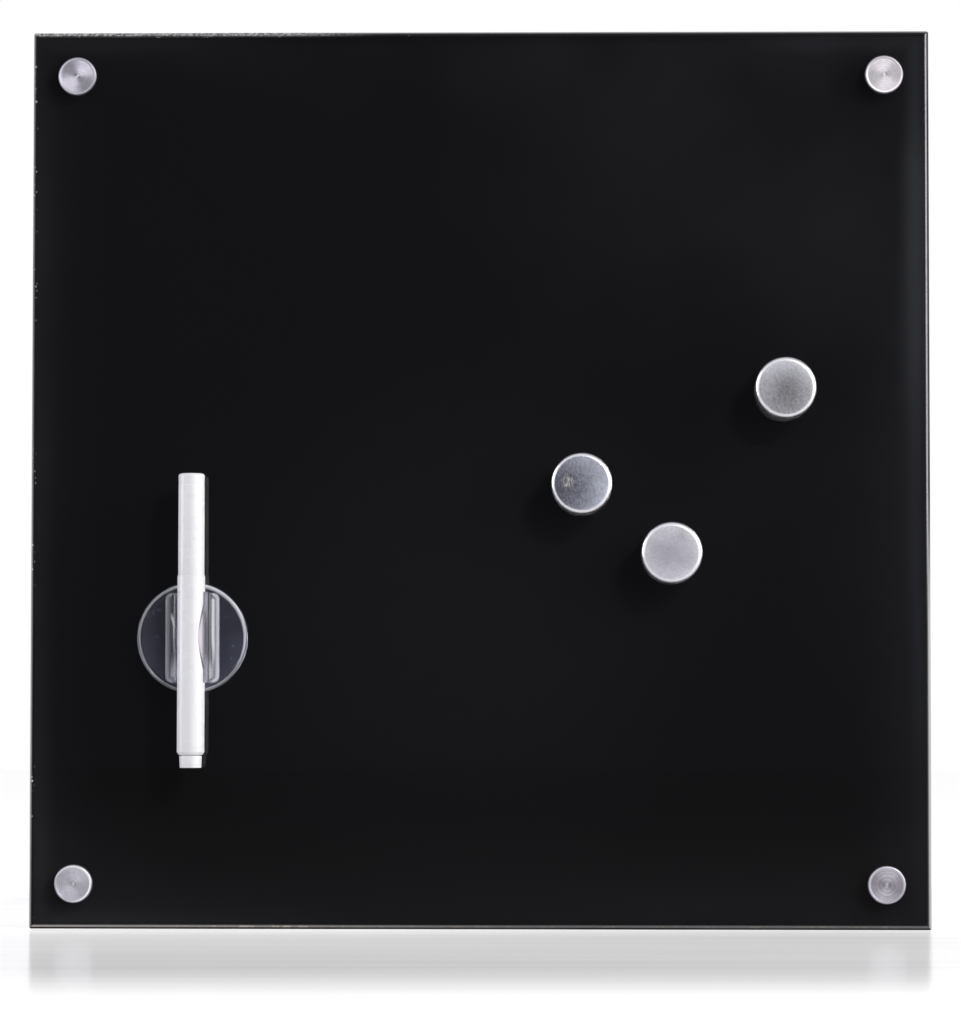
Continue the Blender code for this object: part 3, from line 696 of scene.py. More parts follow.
def clear_plastic():
    """Clear moulded plastic: a faint haze and specks, milky lines along the rim and plinth that are
    partly a milky edge and partly painted highlights, more painted highlights on the arms, and
    painted shade: a darker tint on the arms, a dark core and a darker outer wall on the foot.
    """
    n = Nodes("clear_plastic")
    x, y, z = n.parts(n.object)
    across, up = n.size(x), n.size(y)
    flow = n.noise(45, detail=4, vector=n.scaled(n.object, (1.0, 0.3, 1.0)))
    specks = n.times((n.cells(300), 0.04, 0.08, 1.0, 0.0), (n.noise(110), 0.58, 0.64))
    above_foot = n.spread(z, foot_front + 0.0002, foot_front + 0.0008)

    radius = n.length(x, y)
    # The milky rim grows stronger towards the light at the upper right.
    toward_light = n.spread(n.plus(x, y), -0.005, 0.028)
    inside = n.minus(foot_radius - 0.0018, n.times(toward_light, 0.0004))
    widened = n.minus(radius, (y, -0.004, 0.012, 0.0, 0.0004))
    # Rim: a milky line round the foot, partly a milky moulded edge and partly a painted highlight.
    rim = n.times(
        (n.minus(radius, inside), 0.0, 0.0006),
        (widened, foot_radius - 0.0012, foot_radius - 0.0006, 1.0, 0.15),
        (z, foot_front - 0.0003, foot_front + 0.0003),
        (toward_light, 0.0, 1.0, 0.38, 1.0),
    )
    # Plinth: a painted highlight along the plinth's rounded edge.
    over_x = n.larger(n.minus(across, plinth_width / 2 - plinth_corner), 0.0)
    over_y = n.larger(n.minus(up, plinth_length / 2 - plinth_corner), 0.0)
    over = n.length(over_x, over_y)
    line = n.times(
        (over, plinth_corner - 0.0026, plinth_corner - 0.0011),
        (over, plinth_corner - 0.0007, plinth_corner - 0.0002, 1.0, 0.35),
        above_foot,
        (x, -0.011, 0.011, 0.42, 0.62),
        (z, plinth_front + 0.0001, plinth_front + 0.0004, 1.0, 0.0),
    )
    # Painted highlights on the arms' outer sides, towards the clip's lower end.
    glow = n.times(
        (y, -0.016, -0.007, 0.30, 0.0),
        (across, 0.0070, 0.0084),
        (y, -0.0185, -0.0165, 0.3, 1.0),
        (across, 0.0092, 0.0100, 1.0, 0.2),
        above_foot,
    )
    # Painted highlight on the arms' tips above the pen, mostly right of its middle.
    lobe = n.times(
        (z, pen_axis_height + 0.0008, pen_axis_height + 0.0040),
        (x, 0.0036, 0.0046, 0.50, 0.04),
        (x, -0.003, -0.001, 0.1, 1.0),
    )
    # Painted highlight beside the pen's right edge.
    ridge_painted_highlight = n.times(
        (x, 0.0056, 0.0064),
        (z, pen_axis_height - 0.0004, pen_axis_height + 0.0006),
        (up, 0.004, 0.014, 0.06, 0.30),
    )
    # Painted highlight streaks on the flares, left and right of the pen.
    on_right_arm = n.spread(x, -0.001, 0.001)
    left_bend, right_bend = (y, 0.004, 0.011, 0.0077, 0.0092), (y, -0.008, 0.002, 0.0096, 0.0093)
    bend = n.blend(on_right_arm, left_bend, right_bend)
    on_left = n.times((y, -0.009, 0.005, 0.0, 0.66), (y, 0.008, 0.012, 1.0, 0.0))
    on_right = (y, -0.016, -0.002, 0.16, 0.66)
    streak = n.times(
        (n.size(n.minus(across, bend)), 0.0002, 0.0012, 1.0, 0.0),
        (z, plinth_front - 0.0004, plinth_front),
        (z, plinth_front + 0.0016, plinth_front + 0.0026, 1.0, 0.0),
        n.blend(on_right_arm, on_left, on_right),
        (up, 0.0165, 0.0185, 1.0, 0.0),
    )
    milk_and_painted_highlights = n.larger(n.larger(rim, line), n.larger(glow, n.larger(lobe, ridge_painted_highlight)), clamp=True)
    milk_and_painted_highlights = n.larger(milk_and_painted_highlights, streak)

    colour = n.blend((flow, 0.3, 0.7), (0.86, 0.87, 0.96), (0.93, 0.94, 1.0))
    colour = n.blend(specks, colour, (0.70, 0.68, 0.74))
    # Painted shade: the arms are tinted darker, most at their outer sides.
    arm = (z, pen_axis_height - 0.0020, pen_axis_height + 0.0030)
    arm_painted_shade = n.blend((across, 0.0036, 0.0060), (0.64, 0.61, 0.62), (0.31, 0.295, 0.33))
    colour = n.blend(arm, colour, arm_painted_shade)
    # Painted shade: a dark core in the lower part of the plinth.
    core = n.times(
        (z, plinth_front + 0.0004, plinth_front + 0.0014),
        (z, pen_axis_height - 0.0002, pen_axis_height + 0.0008, 1.0, 0.0),
        (y, -0.013, -0.007),
    )
    colour = n.blend(core, colour, (0.09, 0.10, 0.17))
    # Painted shade: the foot's outer wall is darker.
    wall = (radius, foot_radius - 0.0004, foot_radius - 0.0001)
    colour = n.blend(wall, colour, (0.36, 0.36, 0.40))
    colour = n.blend(milk_and_painted_highlights, colour, (0.965, 0.965, 1.0))
    on_arms = (z, plinth_front - 0.0004, plinth_front + 0.0006, 0.0, 0.17)
    roughness = n.plus((flow, 0.3, 0.7, 0.03, 0.08), on_arms)
    clear = n.minus(0.994, n.times(milk_and_painted_highlights, 0.97), n.times(specks, 0.3))
    n.finish(colour, roughness, n.bump(flow, 0.10, 0.0004), IOR=1.47, Transmission_Weight=clear)
    return n.let_lamps_through(0.86, 0.85, 0.88)


def adhesive_pad():
    """The clear foam pad: small trapped bubbles and a hazy body."""
    n = Nodes("adhesive_pad")
    bubbles = n.times((n.cells(900), 0.15, 0.35, 1.0, 0.0), (n.noise(150, detail=3), 0.56, 0.68))
    colour = n.blend(bubbles, (0.62, 0.66, 0.82), (0.80, 0.80, 0.86))
    normal = n.bump(bubbles, 0.15, 0.0002)
    roughness = (bubbles, 0.0, 1.0, 0.10, 0.3)
    n.finish(colour, roughness, normal, Transmission_Weight=0.988, IOR=1.42)
    return n.let_lamps_through(0.85, 0.86, 0.95)


def clear_washer():
    n = Nodes("clear_washer")
    cloud = n.noise(200, detail=4)
    colour = n.blend(cloud, (0.78, 0.81, 0.82), (0.90, 0.92, 0.92))
    normal = n.bump(cloud, 0.1, 0.0001)
    n.finish(colour, (cloud, 0.3, 0.7, 0.12, 0.3), normal, Transmission_Weight=0.85, IOR=1.45)
    return n.let_lamps_through(0.9, 0.9, 0.9)


def rubber():
    n = Nodes("black_rubber")
    bloom = n.noise(90, detail=4)
    colour = n.blend((bloom, 0.45, 0.8), (0.016, 0.016, 0.017), (0.045, 0.045, 0.046))
    grain = n.bump(n.noise(1400, detail=4), 0.4, 0.0001)
    return n.finish(colour, (bloom, 0.3, 0.7, 0.7, 0.85), grain)


def zinc_screw():
    """Zinc-plated screw: yellowish tint in patches, darker in the thread's valleys."""
    n = Nodes("zinc_screw")
    patch = n.noise(260, detail=4)
    x, y = n.parts(n.object)[:2]
    colour = n.blend(patch, (0.66, 0.64, 0.58), (0.74, 0.75, 0.77))
    # Darker towards the thread's valleys.
    colour = n.blend((n.length(x, y), 0.0013, 0.0019, 0.6, 0.0), colour, (0.20, 0.19, 0.17))
    normal = n.bump(patch, 0.1, 0.0001)
    return n.finish(colour, (patch, 0.3, 0.7, 0.24, 0.42), normal, Metallic=1.0)


def felt(name, colour, shadow):
    n = Nodes(name)
    stretched = n.scaled(n.object, (4200.0, 4200.0, 500.0))
    fibres = n.noise(1.0, detail=5, roughness=0.7, vector=stretched)
    tone = n.blend((fibres, 0.3, 0.7), shadow, colour)
    return n.finish(tone, (fibres, 0.3, 0.7, 0.82, 0.97), n.bump(fibres, 0.6, 0.0002))


def rounded_square(side, radius, steps):
    """A square round the origin with rounded corners, anticlockwise."""
    reach = side / 2 - radius
    outline = []
    corners = ((reach, reach, 0), (-reach, reach, 90), (-reach, -reach, 180), (reach, -reach, 270))
    for x, y, start in corners:
        outline += arc(x, y, radius, start, start + 90, steps)
    return outline


def fixing_places():
    """The four fixings' names with the middles of their caps."""
    names = [f"{row}_{column}" for row in ("top", "bottom") for column in ("left", "right")]
    return [(name, place_of("cap_" + name)) for name in names]


def pane_mesh():
    """The pane with its pencil-ground rim and four drilled holes with broken edges."""
    profile = arc(edge_rounding, glass_back + edge_rounding, edge_rounding, 270, 180, 10)
    profile += arc(edge_rounding, glass_front - edge_rounding, edge_rounding, 180, 90, 10)
    sections = []
    for inset, depth in profile:
        dubbing = (glass_corner_radius - face_corner_radius) * (1 - inset / edge_rounding)
        outline = rounded_square(2 * (half_side - inset), face_corner_radius + dubbing, 8)
        sections.append([(x, y, depth) for x, y in outline])
    hole, arris = panel_hole_radius, panel_hole_arris
    levels = (
        (hole + 2 * arris, glass_back - arris), (hole, glass_back + arris),
        (hole, glass_front - arris), (hole + 2 * arris, glass_front + arris),
    )
    drills = bmesh.new()
    for _, place in fixing_places():
        rings = []
        for radius, depth in levels:
            circle = arc(place.x, place.z, radius, 0, 360, round_steps)[:-1]
            rings.append([(x, y, depth) for x, y in circle])
        add_loft(drills, rings)
    blank = lofted("glass_pane", sections)
    return combined("glass_pane", blank, finished("drills", drills), "DIFFERENCE")


def build_panel(nodes):
    """The pane, clear in front, ground round its rim and black behind, the coat and the sheet."""
    mesh = pane_mesh()
    mesh.materials.clear()
    for material in (clear_glass(), ground_edge(), glass_lacquer()):
        mesh.materials.append(material)
    for face in mesh.polygons:
        face.material_index = 1
        if abs(face.normal.z) > flat_facing:
            face.material_index = 0 if face.normal.z > 0 else 2
            face.use_smooth = False
    add("glass_pane", mesh, mesh.materials[0], "board", (0, 0, 0), 0, node="glass_panel")
    for node, material, slot in (
        ("back_coat", back_lacquer(), "black_coat"),
        ("steel_sheet", zinc_sheet(), "zinc_sheet"),
    ):
        materials = nodes[node].data.materials
        materials.clear()
        materials.append(material)


def cap_mesh():
    """A low turned cap: raised rim, faint turning rings, a pip in its dimple, a threaded stud."""
    rows = 96
    stud_chamfer = 0.0006
    section = [(0, stud_end), (stud_radius - stud_chamfer, stud_end)]
    threaded = range(len(section), len(section) + rows)
    stud = (stud_radius, stud_end + stud_chamfer), (stud_radius, cap_back - 0.0001)
    section += divided(*stud, rows)
    section.append((stud_radius, cap_back))
    first_groove, last_groove = 0.0070, 0.0014
    groove_width, groove_depth, groove_pitch = 0.00040, 0.000012, 0.00055
    section += softened_inside([
        (stud_radius, cap_back), (cap_radius, cap_back), (cap_radius, cap_front - cap_chamfer),
        (cap_radius - cap_chamfer, cap_front), (first_groove, cap_front),
    ])
    floor = cap_front - 0.00012
    section += [(0.0075, cap_front), (0.0073, floor)]
    radius = first_groove
    while radius > last_groove:
        section += [(radius, floor), (radius - groove_width / 2, floor - groove_depth)]
        section.append((radius - groove_width, floor))
        radius -= groove_pitch
    section += [(0.0009, floor - 0.00006), (0.00065, floor - 0.00007)]
    section += [(0.0004, floor - 0.00001), (0.0002, floor), (0, floor)]
    thread = (stud_end + 0.0008, cap_back - 0.0003, 0.0010, 0.0005)
    return turned("turned_cap", section, round_steps, thread, threaded, thread_edge)


def spacer_mesh():
    """A turned barrel with a threaded bore in front and a floor for the screw."""
    rows = 64
    mouth = 0.0005
    relief = plug_radius + fit_clearance
    radius, length, chamfer = spacer_radius, spacer_length, spacer_chamfer
    section = softened([
        (screw_hole_radius, spacer_relief_depth), (relief, spacer_relief_depth), (relief, 0),
        (radius - chamfer, 0), (radius, chamfer), (radius, length - chamfer),
        (radius - chamfer, length), (thread_bore_radius + mouth, length),
    ], 0.00012, 3)
    threaded = range(len(section), len(section) + rows)
    bore = (thread_bore_radius, length - mouth), (thread_bore_radius, spacer_floor)
    section += divided(*bore, rows)
    section += [(thread_bore_radius, spacer_floor), (screw_hole_radius, spacer_floor)]
    thread = (spacer_floor + 0.0008, length - 0.0006, 0.0010, -0.0004)
    return turned("turned_spacer", section, round_steps, thread, threaded, thread_edge)


def ring_mesh(name, radius, levels, edge):
    """A plain ring round the stud with soft edges."""
    back, front = levels
    bore = stud_radius + fit_clearance
    section = [(bore, back), (radius, back), (radius, front), (bore, front)]
    return turned(name, softened(section, edge), 96)


def screw_mesh():
    """A pan-head screw with a cut thread, a sharp point and a cross recess."""
    tip = screw_head_back - screw_length
    shank, head = screw_shank_radius, screw_head_radius
    section = [(0, tip)]
    section += divided((0.0001, tip + 0.0001), (shank, tip + screw_tip_length), 24)
    section += divided((shank, tip + screw_tip_length), (shank, screw_head_back), 150)
    threaded = range(1, len(section))
    rim = screw_head_back + screw_head_rim
    dome = screw_head_front - rim
    section += [(shank, screw_head_back), (head - 0.0002, screw_head_back)]
    section.append((head, screw_head_back + 0.0002))
    section += arc(head - dome, rim, dome, 0, 90, 12)
    section.append((0, screw_head_front))
    thread = (tip + 0.0004, screw_head_back - 0.0015, 0.0016, 0.0007)
    blank = turned("screw_blank", section, 48, thread, threaded, full_radius=shank)
    arm, half, depth = 0.0022, 0.0005, 0.0011
    sections = []
    for scale, level in ((0.55, screw_head_front - depth), (1.0, screw_head_front + 0.001)):
        outline = []
        for across, up in ((1, 0), (0, 1), (-1, 0), (0, -1)):
            for x, y in ((arm * scale, half), (half, half), (half, arm * scale)):
                outline.append((x * across - y * up, x * up + y * across, level))
        sections.append(outline)
    return combined("wall_screw", blank, lofted("recess", sections), "DIFFERENCE")


def plug_mesh():
    """A split wall plug: plain collar, four rounded barbs and a slot."""
    mouth = -rest_gap
    tail = mouth - plug_length
    collar_end = mouth - plug_collar_length
    waist = plug_radius - plug_barb_depth
    barb_length = (plug_length - plug_collar_length) / plug_barb_count
    section = [(screw_hole_radius, tail), (screw_hole_radius, mouth)]
    section += [(plug_radius, mouth), (plug_radius, collar_end)]
    for barb in range(plug_barb_count):
        top = collar_end - barb * barb_length
        section += [(waist, top - 0.0002), (waist, top - barb_length * 0.35)]
        section += [(plug_radius, top - barb_length * share) for share in (0.6, 0.75)]
    section.append((waist, tail))
    blank = turned("plug_blank", softened(section, 0.00025, 3), 64)
    half = plug_slot_width / 2
    reach = plug_radius + 0.001
    corners = [(-reach, -half), (reach, -half), (reach, half), (-reach, half)]
    levels = (tail - 0.001, tail + plug_slot_length)
    slot = lofted("plug_slot", [[(x, y, level) for x, y in corners] for level in levels])
    return combined("wall_plug", blank, slot, "DIFFERENCE")


def build_fixings():
    """One set of seven pieces at each corner, each turned a little differently, with each cap's own
    tones, sectors and rim highlight painted as the light falls at its corner.
    """
    # Per corner: the metal's finish, and its tones, sectors and rim as painted light.
    cap_finish_and_painted_light = {
        "top_left": ((0.72, 0.69, 0.77), (0.50, 0.49, 0.57), 0.46, 0.00042, 0.35, 0.22,
                     (28, 0.40, 180, 0.84, 1.12)),
        "top_right": ((0.655, 0.625, 0.665), (0.48, 0.455, 0.48), 0.48, 0.00042, 0.30, 0.20,
                      (30, 0.26, 180, 0.90, 1.80)),
        "bottom_left": ((0.665, 0.65, 0.72), (0.505, 0.49, 0.545), 0.48, 0.00042, 0.30, 0.20,
                        (-73, 0.12, -120, 0.96, 2.40)),
        "bottom_right": ((0.54, 0.515, 0.575), (0.275, 0.26, 0.295), 0.46, 0.00060, 0.30, 0.25,
                         (-142, 0.20, -140, 1.50, 2.05)),
    }
    metal = turned_metal("turned_metal", (0.80, 0.79, 0.83), (0.58, 0.58, 0.63), 0.30, 0.00035)
    white = moulded_plastic("white_nylon", (0.78, 0.78, 0.75), (0.70, 0.70, 0.66), 0.45)
    grey = moulded_plastic("grey_nylon", (0.36, 0.37, 0.38), (0.29, 0.30, 0.31), 0.48)
    kinds = {
        "front_washer": (
            ring_mesh("clear_ring", washer_radius, front_washer, 0.0001), clear_washer()
        ),
        "hole_bush": (ring_mesh("bush_ring", bush_radius, bush, 0.00015), white),
        "rear_washer": (ring_mesh("rubber_ring", washer_radius, rear_washer, 0.0002), rubber()),
        "spacer": (spacer_mesh(), metal),
        "wall_screw": (screw_mesh(), zinc_screw()),
        "wall_plug": (plug_mesh(), grey),
    }
    cap = cap_mesh()
    for (name, place), angle in zip(fixing_places(), (20, 75, 140, 230)):
        at_corner = ("board", (place.x, 0, place.z), angle)
        cap_metal = turned_metal("turned_metal_" + name, *cap_finish_and_painted_light[name])
        add(f"cap.{name}", cap.copy(), cap_metal, *at_corner, slot="turned_metal")
        for kind, (mesh, material) in kinds.items():
            add(f"{kind}.{name}", mesh, material, *at_corner)


def magnet_shell_mesh():
    """A turned body with a rounded front rim, a faintly crowned face and a recess behind."""
    front = rest_gap + magnet_height
    ceiling = rest_gap + magnet_core_height + rest_gap
    recess = magnet_core_radius + fit_clearance
    rounding = magnet_front_rounding
    shoulder = magnet_radius - rounding
    crown = 0.00004
    section = [(0, ceiling)]
    section += softened_inside([
        (recess - 0.003, ceiling), (recess, ceiling), (recess, rest_gap),
        (magnet_radius - magnet_back_chamfer, rest_gap),
        (magnet_radius, rest_gap + magnet_back_chamfer), (magnet_radius, rest_gap + 0.004),
    ])
    for across, up in arc(0, 0, 1, 0, 90, 20):
        across, up = max(across, 0) ** 1.35, max(up, 0) ** 1.35
        section.append((shoulder + rounding * across, front - rounding * (1 - up)))
    for radius in (0.0105, 0.009, 0.0075, 0.006, 0.004, 0.002):
        section.append((radius, front - crown * (1 - (radius / shoulder) ** 2)))
    section.append((0, front - crown))
    return turned("magnet_shell", section, fine_steps)


def build_magnets():
    """Three magnets, each with its own wear and its own painted reflection, and the disc in the
    back of each.
    """
    # Each magnet's pale and dark tones, slope and bowl are painted reflection; only the left one
    # has scratches.
    wear_and_painted_reflection = {
        "left": ((0.69, 0.72, 0.83), (0.155, 0.155, 0.195), 0.40, 0.90, 0.31,
                 (0.60, 0.09, 0.23), 0.40),
        "middle": ((0.75, 0.74, 0.80), (0.43, 0.42, 0.48), 0.44, 0.0, 0.77,
                   (0.06, 0.08, 0.08), 0.95),
        "right": ((0.70, 0.70, 0.76), (0.235, 0.23, 0.245), 0.42, 0.0, 1.23,
                  (-0.03, 0.36, 0.08), 0.75),
    }
    nickel = turned_metal("nickel", (0.72, 0.68, 0.60), (0.60, 0.57, 0.50), 0.22, 0.0008)
    radius, front = magnet_core_radius, rest_gap + magnet_core_height
    section = softened([(0, rest_gap), (radius, rest_gap), (radius, front), (0, front)], 0.0004, 6)
    core = turned("magnet_core", section)
    for side, look in wear_and_painted_reflection.items():
        body = "magnet_" + side
        place = place_of(body + "_shell")
        on_glass = (body, (place.x, -glass_front, place.z), 0)
        metal = worn_magnet("magnet_metal_" + side, *look)
        add(body + ".shell", magnet_shell_mesh(), metal, *on_glass, slot="magnet_metal")
        add(body + ".core", core, nickel, *on_glass)


def wrap_angle(angles, along):
    """How far an arm wraps round the pen at a place along the clip."""
    at_end, at_middle = angles
    if abs(along) >= lobe_half_length:
        return at_end
    return at_end + (at_middle - at_end) * math.cos(math.pi / 2 * along / lobe_half_length)


def arm_side(start, end, steps):
    """The outside of an arm from its root to near its tip, where it is thinner."""
    points = []
    for step in range(steps + 1):
        share = step / steps
        angle = math.radians(start + (end - start) * share)
        radius = arm_radius - (arm_radius - arm_thin_radius) * share ** 2
        points.append((radius * math.cos(angle), pen_axis_height + radius * math.sin(angle)))
    return points


def arm_tip(wrap, start, end):
    middle = (arm_bore + arm_thin_radius) / 2
    x = middle * math.cos(math.radians(wrap))
    y = pen_axis_height + middle * math.sin(math.radians(wrap))
    return arc(x, y, (arm_thin_radius - arm_bore) / 2, start, end, 8)[1:-1]


def flare_points(half_width):
    """The hollow outer side of an arm, from the plinth up to where the arm wraps round the pen."""
    foot = min(flare_foot, half_width - flare_edge)
    root = math.radians(flare_angle)
    across = foot - arm_radius * math.cos(root)
    up = pen_axis_height - arm_radius * math.sin(root) - plinth_front
    hollow = arc(0, 0, 1, 270, 180, 16)
    return [(foot + across * x, plinth_front + up * (1 + y)) for x, y in hollow]


def clip_outline(along, half_width):
    """Plinth and arms in section, with the plinth's upper edge rounded."""
    right = wrap_angle(right_wrap, along)
    left = 180 - wrap_angle(left_wrap, along)
    bed = foot_front - plinth_weld
    edge = 0.0008
    flare = flare_points(half_width)[:-1]
    outline = [(-half_width, bed), (half_width, bed)]
    outline += arc(half_width - edge, plinth_front - edge, edge, 0, 90, 5)
    outline += flare
    outline += arm_side(-flare_angle, right, 14)
    outline += arm_tip(right, right, right + 180)
    outline += arc(0, pen_axis_height, arm_bore, right, left - 360, 40)
    outline += arm_tip(left, left - 180, left)
    outline += reversed(arm_side(180 + flare_angle, left, 14))
    outline += [(-x, height) for x, height in reversed(flare)]
    outline += arc(-half_width + edge, plinth_front - edge, edge, 90, 180, 5)
    return [(x, along, height) for x, height in outline]


def clip_stations():
    """Places along the clip with the plinth's half width there."""
    straight = plinth_length / 2 - plinth_corner
    side = plinth_width / 2 - plinth_corner
    end = [(straight + y, side + x) for x, y in arc(0, 0, plinth_corner, 0, 90, 8)]
    steps = 40
    middle = [lobe_half_length * (2 * step / steps - 1) for step in range(steps + 1)]
    stations = [(-along, half_width) for along, half_width in reversed(end)]
    stations += [(along, side + plinth_corner) for along in middle]
    return stations + end


def clip_mesh():
    section = [(0, foot_back), (foot_radius - foot_edge, foot_back)]
    section.append((foot_radius, foot_back + foot_edge))
    section = softened(section, 0.0002)
    section += arc(foot_radius - bead_radius, foot_front, bead_radius, 0, 180, 14)
    section.append((0, foot_front))
    foot = turned("clip_foot", section, fine_steps)
    grip = lofted("clip_grip", [clip_outline(*station) for station in clip_stations()])
    return combined("pen_clip", foot, grip, "UNION", 40)


def pad_mesh():
    """The adhesive pad, with an edge that swells and dents a little."""
    steps = 180
    levels = [(0.0004, rest_gap), (0.0001, rest_gap + 0.0001), (0, (rest_gap + pad_front) / 2)]
    levels += [(0.0001, pad_front - 0.0001), (0.0004, pad_front)]
    sections = []
    for inset, level in levels:
        section = []
        for step in range(steps):
            angle = 2 * math.pi * step / steps
            across, up = math.cos(angle), math.sin(angle)
            swell = noise.noise(Vector((across * 7, up * 7, 2.5))) * 0.00025
            bump = max(0, noise.noise(Vector((across * 22, up * 22, 7.1))) - 0.3) * 0.0012
            lower_left = max(0, -(across + up) / math.sqrt(2))
            radius = pad_radius - 0.0004 - inset + swell + bump * lower_left
            section.append((radius * across, radius * up, level))
        sections.append(section)
    return lofted("clip_pad", sections)


def build_clip():
    place = place_of("clip_pad")
    on_glass = ("board", (place.x, -glass_front, place.z), 0)
    add("pen_clip.body", clip_mesh(), clear_plastic(), *on_glass, node="pen_clip")
    pad = (pad_mesh(), adhesive_pad())
    add("pen_clip.pad", *pad, *on_glass, node="clip_pad", slot="clear_pad")


def build_pen():
    """The marker: cap, barrel, end plug, nose, nib and reservoir, all turned round its axis."""
    low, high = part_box("pen_barrel")
    seat = ((low.x + high.x) / 2, (low.y + high.y) / 2, high.z - barrel_top)
    white = moulded_plastic("white_plastic", (0.86, 0.86, 0.88), (0.83, 0.83, 0.86), 0.28)
    seam_gap = 0.00004
    rounding = 0.0013
    radius, bore, top = pen_cap_radius, pen_cap_bore, pen_cap_top
    cap = [(0, top - pen_cap_crown), (bore, top - pen_cap_crown), (bore, 0), (radius, 0)]
    cap += [(radius, 0.0118), (radius - 0.00003, 0.0121), (radius, 0.0124), (radius, 0.040)]
    cap = softened(cap, 0.00012, 3)
    cap += arc(radius - rounding, top - rounding, rounding, 0, 90, 14)
    cap += [(0.0034, top), (0.0031, top - 0.00008), (0, top - 0.00012)]
    barrel = [
        (neck_radius, barrel_bottom), (barrel_radius - 0.0009, barrel_bottom),
        (barrel_radius, barrel_bottom + 0.0013), (barrel_radius, -seam_gap),
        (barrel_bore, -seam_gap), (barrel_bore, neck_top), (neck_radius, neck_top),
    ]
    spigot, spigot_top = neck_radius - fit_clearance, end_plug_top + end_plug_spigot
    dish = end_plug_bottom + 0.0003
    plug = [
        (0, spigot_top), (spigot, spigot_top), (spigot, end_plug_top),
        (end_plug_radius, end_plug_top), (end_plug_radius - 0.0002, end_plug_bottom),
        (0.0032, end_plug_bottom), (0.0030, dish), (0, dish),
    ]
    nib_bore = nib_radius + fit_clearance
    in_barrel, in_cap = barrel_bore - fit_clearance, bore - fit_clearance
    nose = [
        (nib_bore, nose_bottom), (in_barrel, nose_bottom), (in_barrel, barrel_top),
        (in_cap, barrel_top), (in_cap, nose_collar), (nose_tip_radius, nose_top),
        (nib_bore, nose_top),
    ]
    round_end = 0.0022
    shoulder = nib_top - round_end
    nib = [(0, nose_bottom), (nib_radius, nose_bottom)]
    nib += [(nib_radius * x, shoulder + round_end * y) for x, y in arc(0, 0, 1, 0, 90, 16)[:-1]]
    nib.append((0, nib_top))
    rod = in_barrel - 0.0002
    bottom, top = neck_top + rest_gap, nose_bottom - rest_gap
    reservoir = softened([(0, bottom), (rod, bottom), (rod, top), (0, top)], 0.0003)
    black = felt("black_felt", (0.022, 0.022, 0.024), (0.008, 0.008, 0.009))
    inked = felt("inked_fibre", (0.075, 0.075, 0.085), (0.040, 0.040, 0.048))
    add("pen.cap", turned("pen_cap", cap), white, "pen_cap", seat)
    add("pen.barrel", turned("pen_barrel", softened(barrel, 0.0002)), white, "pen", seat)
    add("pen.end_plug", turned("pen_end_plug", softened(plug, 0.0004, 6)), white, "pen", seat)
    add("pen.nose", turned("pen_nose", softened(nose, 0.0003)), white, "pen", seat)
    add("pen.nib", turned("pen_nib", nib, 64), black, "pen", seat)
    add("pen.reservoir", turned("pen_reservoir", reservoir, 96), inked, "pen", seat)


def build_floor():
    """A glossy white floor that mirrors the board for a hand's breadth in front of it."""
    mesh = bpy.data.meshes.new("floor")
    far, level = 9.0, -half_side - 0.0002
    corners = [(-far, -far, level), (far, -far, level), (far, far, level), (-far, far, level)]
    mesh.from_pydata(corners, [], [(0, 1, 2, 3)])
    floor = placed("floor", mesh)
    n = Nodes("studio_floor")
    n.tree.nodes.remove(n.shader)
    x, y = n.parts(n.object)[:2]
    aside, away = n.size(x), n.size(y)
    path = n.node("ShaderNodeLightPath").outputs
    seen, mirrored, bent = (path[f"Is {ray} Ray"] for ray in ("Camera", "Glossy", "Transmission"))
    facing = n.node("ShaderNodeLayerWeight").outputs["Facing"]

    low_mirrored = n.times((facing, 0.78, 0.92), mirrored)
    low_ray = n.larger(low_mirrored, n.times((y, -0.14, -0.02, 1.0, 0.0), bent))
    dim = n.minus(1.0, n.times(low_ray, 0.93))
    diffuse = n.out("ShaderNodeBsdfDiffuse", n.blend(dim, (0.0, 0.0, 0.0), (0.80, 0.80, 0.80)))
    plain = n.larger((aside, 0.3, 0.8), (y, -0.10, 0.0), (y, -0.9, -0.6, 1.0, 0.0))
    shown = n.times(seen, (plain, 0.0, 1.0, 0.50, 0.72, "LINEAR"))
    echoed = n.plus(n.times(n.larger(bent, mirrored), dim, 0.36), n.times(low_ray, 0.02))
    glow = n.out("ShaderNodeEmission", (1.0, 1.0, 1.0), n.plus(shown, echoed))
    base = n.out("ShaderNodeAddShader", diffuse, glow)

    mirror = n.fill(n.node("ShaderNodeBsdfGlossy"), Roughness=0.14)[0]
    ripple = n.noise(1.0, detail=3, vector=n.scaled(n.object, (3.0, 45.0, 1.0)))
    # Mirror share: it grows from the board out to about a third of a metre, then fades; right at
    # the board's foot it is raised a quarter, which darkens the floor there as a painted contact
    # shadow.
    near = n.times(
        n.plus((away, 0.0, 0.36, 0.38, 0.60, "LINEAR"), (ripple, 0.3, 0.7, -0.02, 0.02)),
        (away, 0.32, 0.65, 1.0, 0.0),
        (aside, 0.23, 0.33, 1.0, 0.0),
        (away, 0.004, 0.040, 1.25, 1.0),
    )
    tilt = n.times(
        (x, -0.1, 0.2, -0.02, 0.11), (away, 0.03, 0.32, 1.0, 0.0), (x, 0.23, 0.33, 1.0, 0.0)
    )
    share = n.times(n.plus(near, tilt), n.power(facing, 3.0), seen)
    n.show(n.out("ShaderNodeMixShader", share, base, mirror))
    mesh.materials.append(n.material)


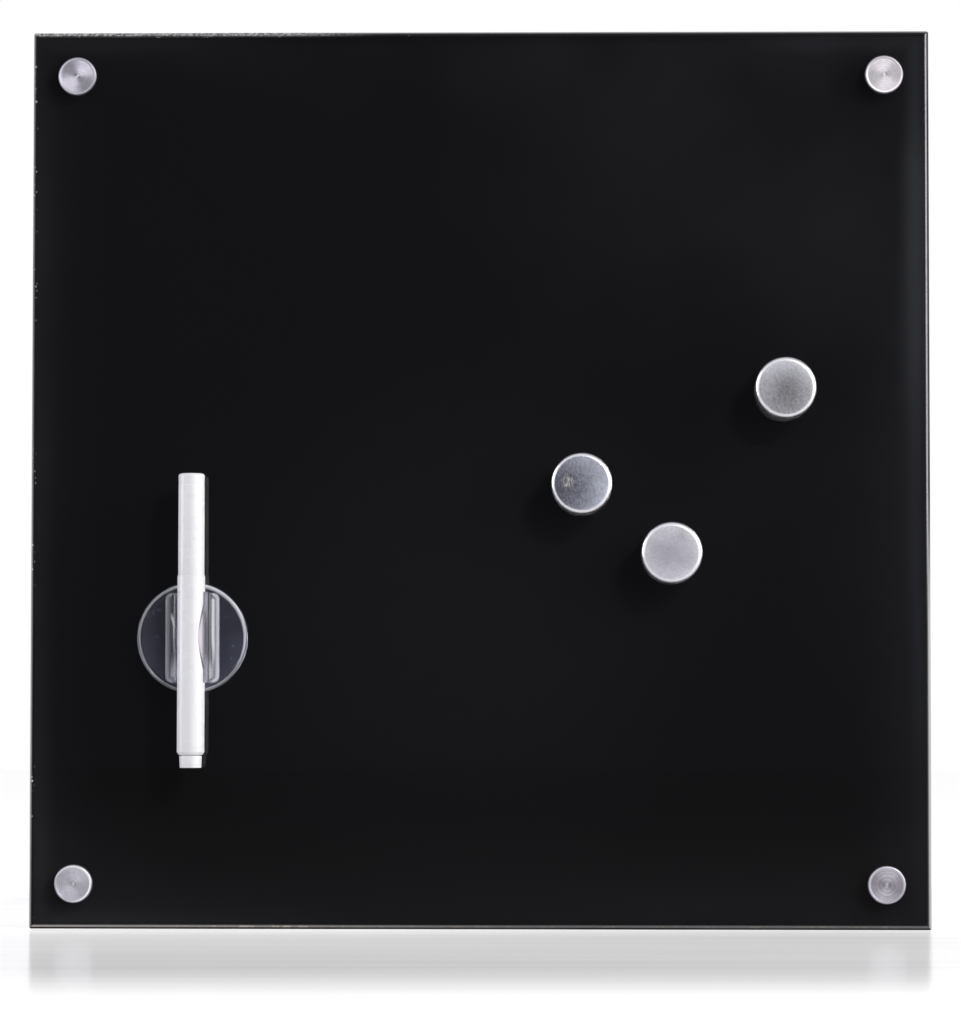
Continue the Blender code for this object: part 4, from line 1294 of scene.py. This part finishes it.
def build_world():
    """A white studio that is darker straight in front of the board."""
    world = bpy.data.worlds.new("studio")
    bpy.context.scene.world = world
    n = Nodes(world)
    path = n.node("ShaderNodeLightPath").outputs
    ahead = n.times(n.parts(n.coordinates["Generated"])[1], -1.0)
    mirrored = n.blend((ahead, 0.84, 0.98), (0.97, 0.97, 1.0), (0.075, 0.075, 0.085))
    colour = n.blend(path["Is Glossy Ray"], (0.32, 0.32, 0.33), mirrored)
    colour = n.blend(path["Is Transmission Ray"], colour, mirrored)
    colour = n.blend(path["Is Camera Ray"], colour, (1.0, 1.0, 1.0))
    n.fill(n.tree.nodes["Background"], Color=colour, Strength=1.0)


def build_lamps():
    """Four lamps, as place, target, width, height, power and colour."""
    middle = (0, 0, 0)
    higher = (0, 0, 0.1)
    lamps = {
        "key": ((1.135, -1.505, 1.135), middle, 0.35, 0.35, 17, (1.0, 0.99, 0.98)),
        "strip": ((1.20, -1.60, 0.35), middle, 0.22, 1.2, 3.4, (1.0, 1.0, 1.0)),
        "right_fill": ((1.75, -0.48, 0.45), higher, 0.7, 1.4, 20, (1.0, 0.99, 1.0)),
        "left_fill": ((-1.80, -0.10, 0.45), higher, 0.4, 1.4, 15, (0.96, 0.96, 1.0)),
    }
    for name, (place, target, width, height, power, colour) in lamps.items():
        data = bpy.data.lights.new(name, "AREA")
        data.shape = "RECTANGLE"
        data.size, data.size_y, data.energy, data.color = width, height, power, colour
        lamp = placed(name, data)
        lamp.location = place
        away = Vector(place) - Vector(target)
        lamp.rotation_euler = away.to_track_quat("Z", "Y").to_euler()
        lamp.visible_camera = False


def build_camera():
    """The photograph's view, from 2 m in front and a little to the right and below."""
    pitch, yaw, roll = math.radians(2.832), math.radians(1.262), math.radians(0.052)
    ahead = math.cos(pitch)
    forward = Vector((-math.sin(yaw) * ahead, math.cos(yaw) * ahead, math.sin(pitch)))
    level = Vector((math.cos(yaw), math.sin(yaw), 0))
    above = level.cross(forward)
    right = level * math.cos(roll) + above * math.sin(roll)
    up = above * math.cos(roll) - level * math.sin(roll)
    data = bpy.data.cameras.new("camera")
    data.sensor_fit = "VERTICAL"
    data.sensor_height = 36.0
    data.lens = 158.37
    data.clip_start = 0.01
    data.clip_end = 100
    camera = placed("camera", data)
    turn = Matrix((right, up, -forward)).transposed().to_4x4()
    camera.matrix_world = Matrix.Translation((0.0444, -2.0191, -0.1139)) @ turn
    bpy.context.scene.camera = camera


build_camera()
build_panel(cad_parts)
build_fixings()
build_magnets()
build_clip()
build_pen()
build_floor()
build_world()
build_lamps()
bpy.context.scene.view_settings.view_transform = "Standard"
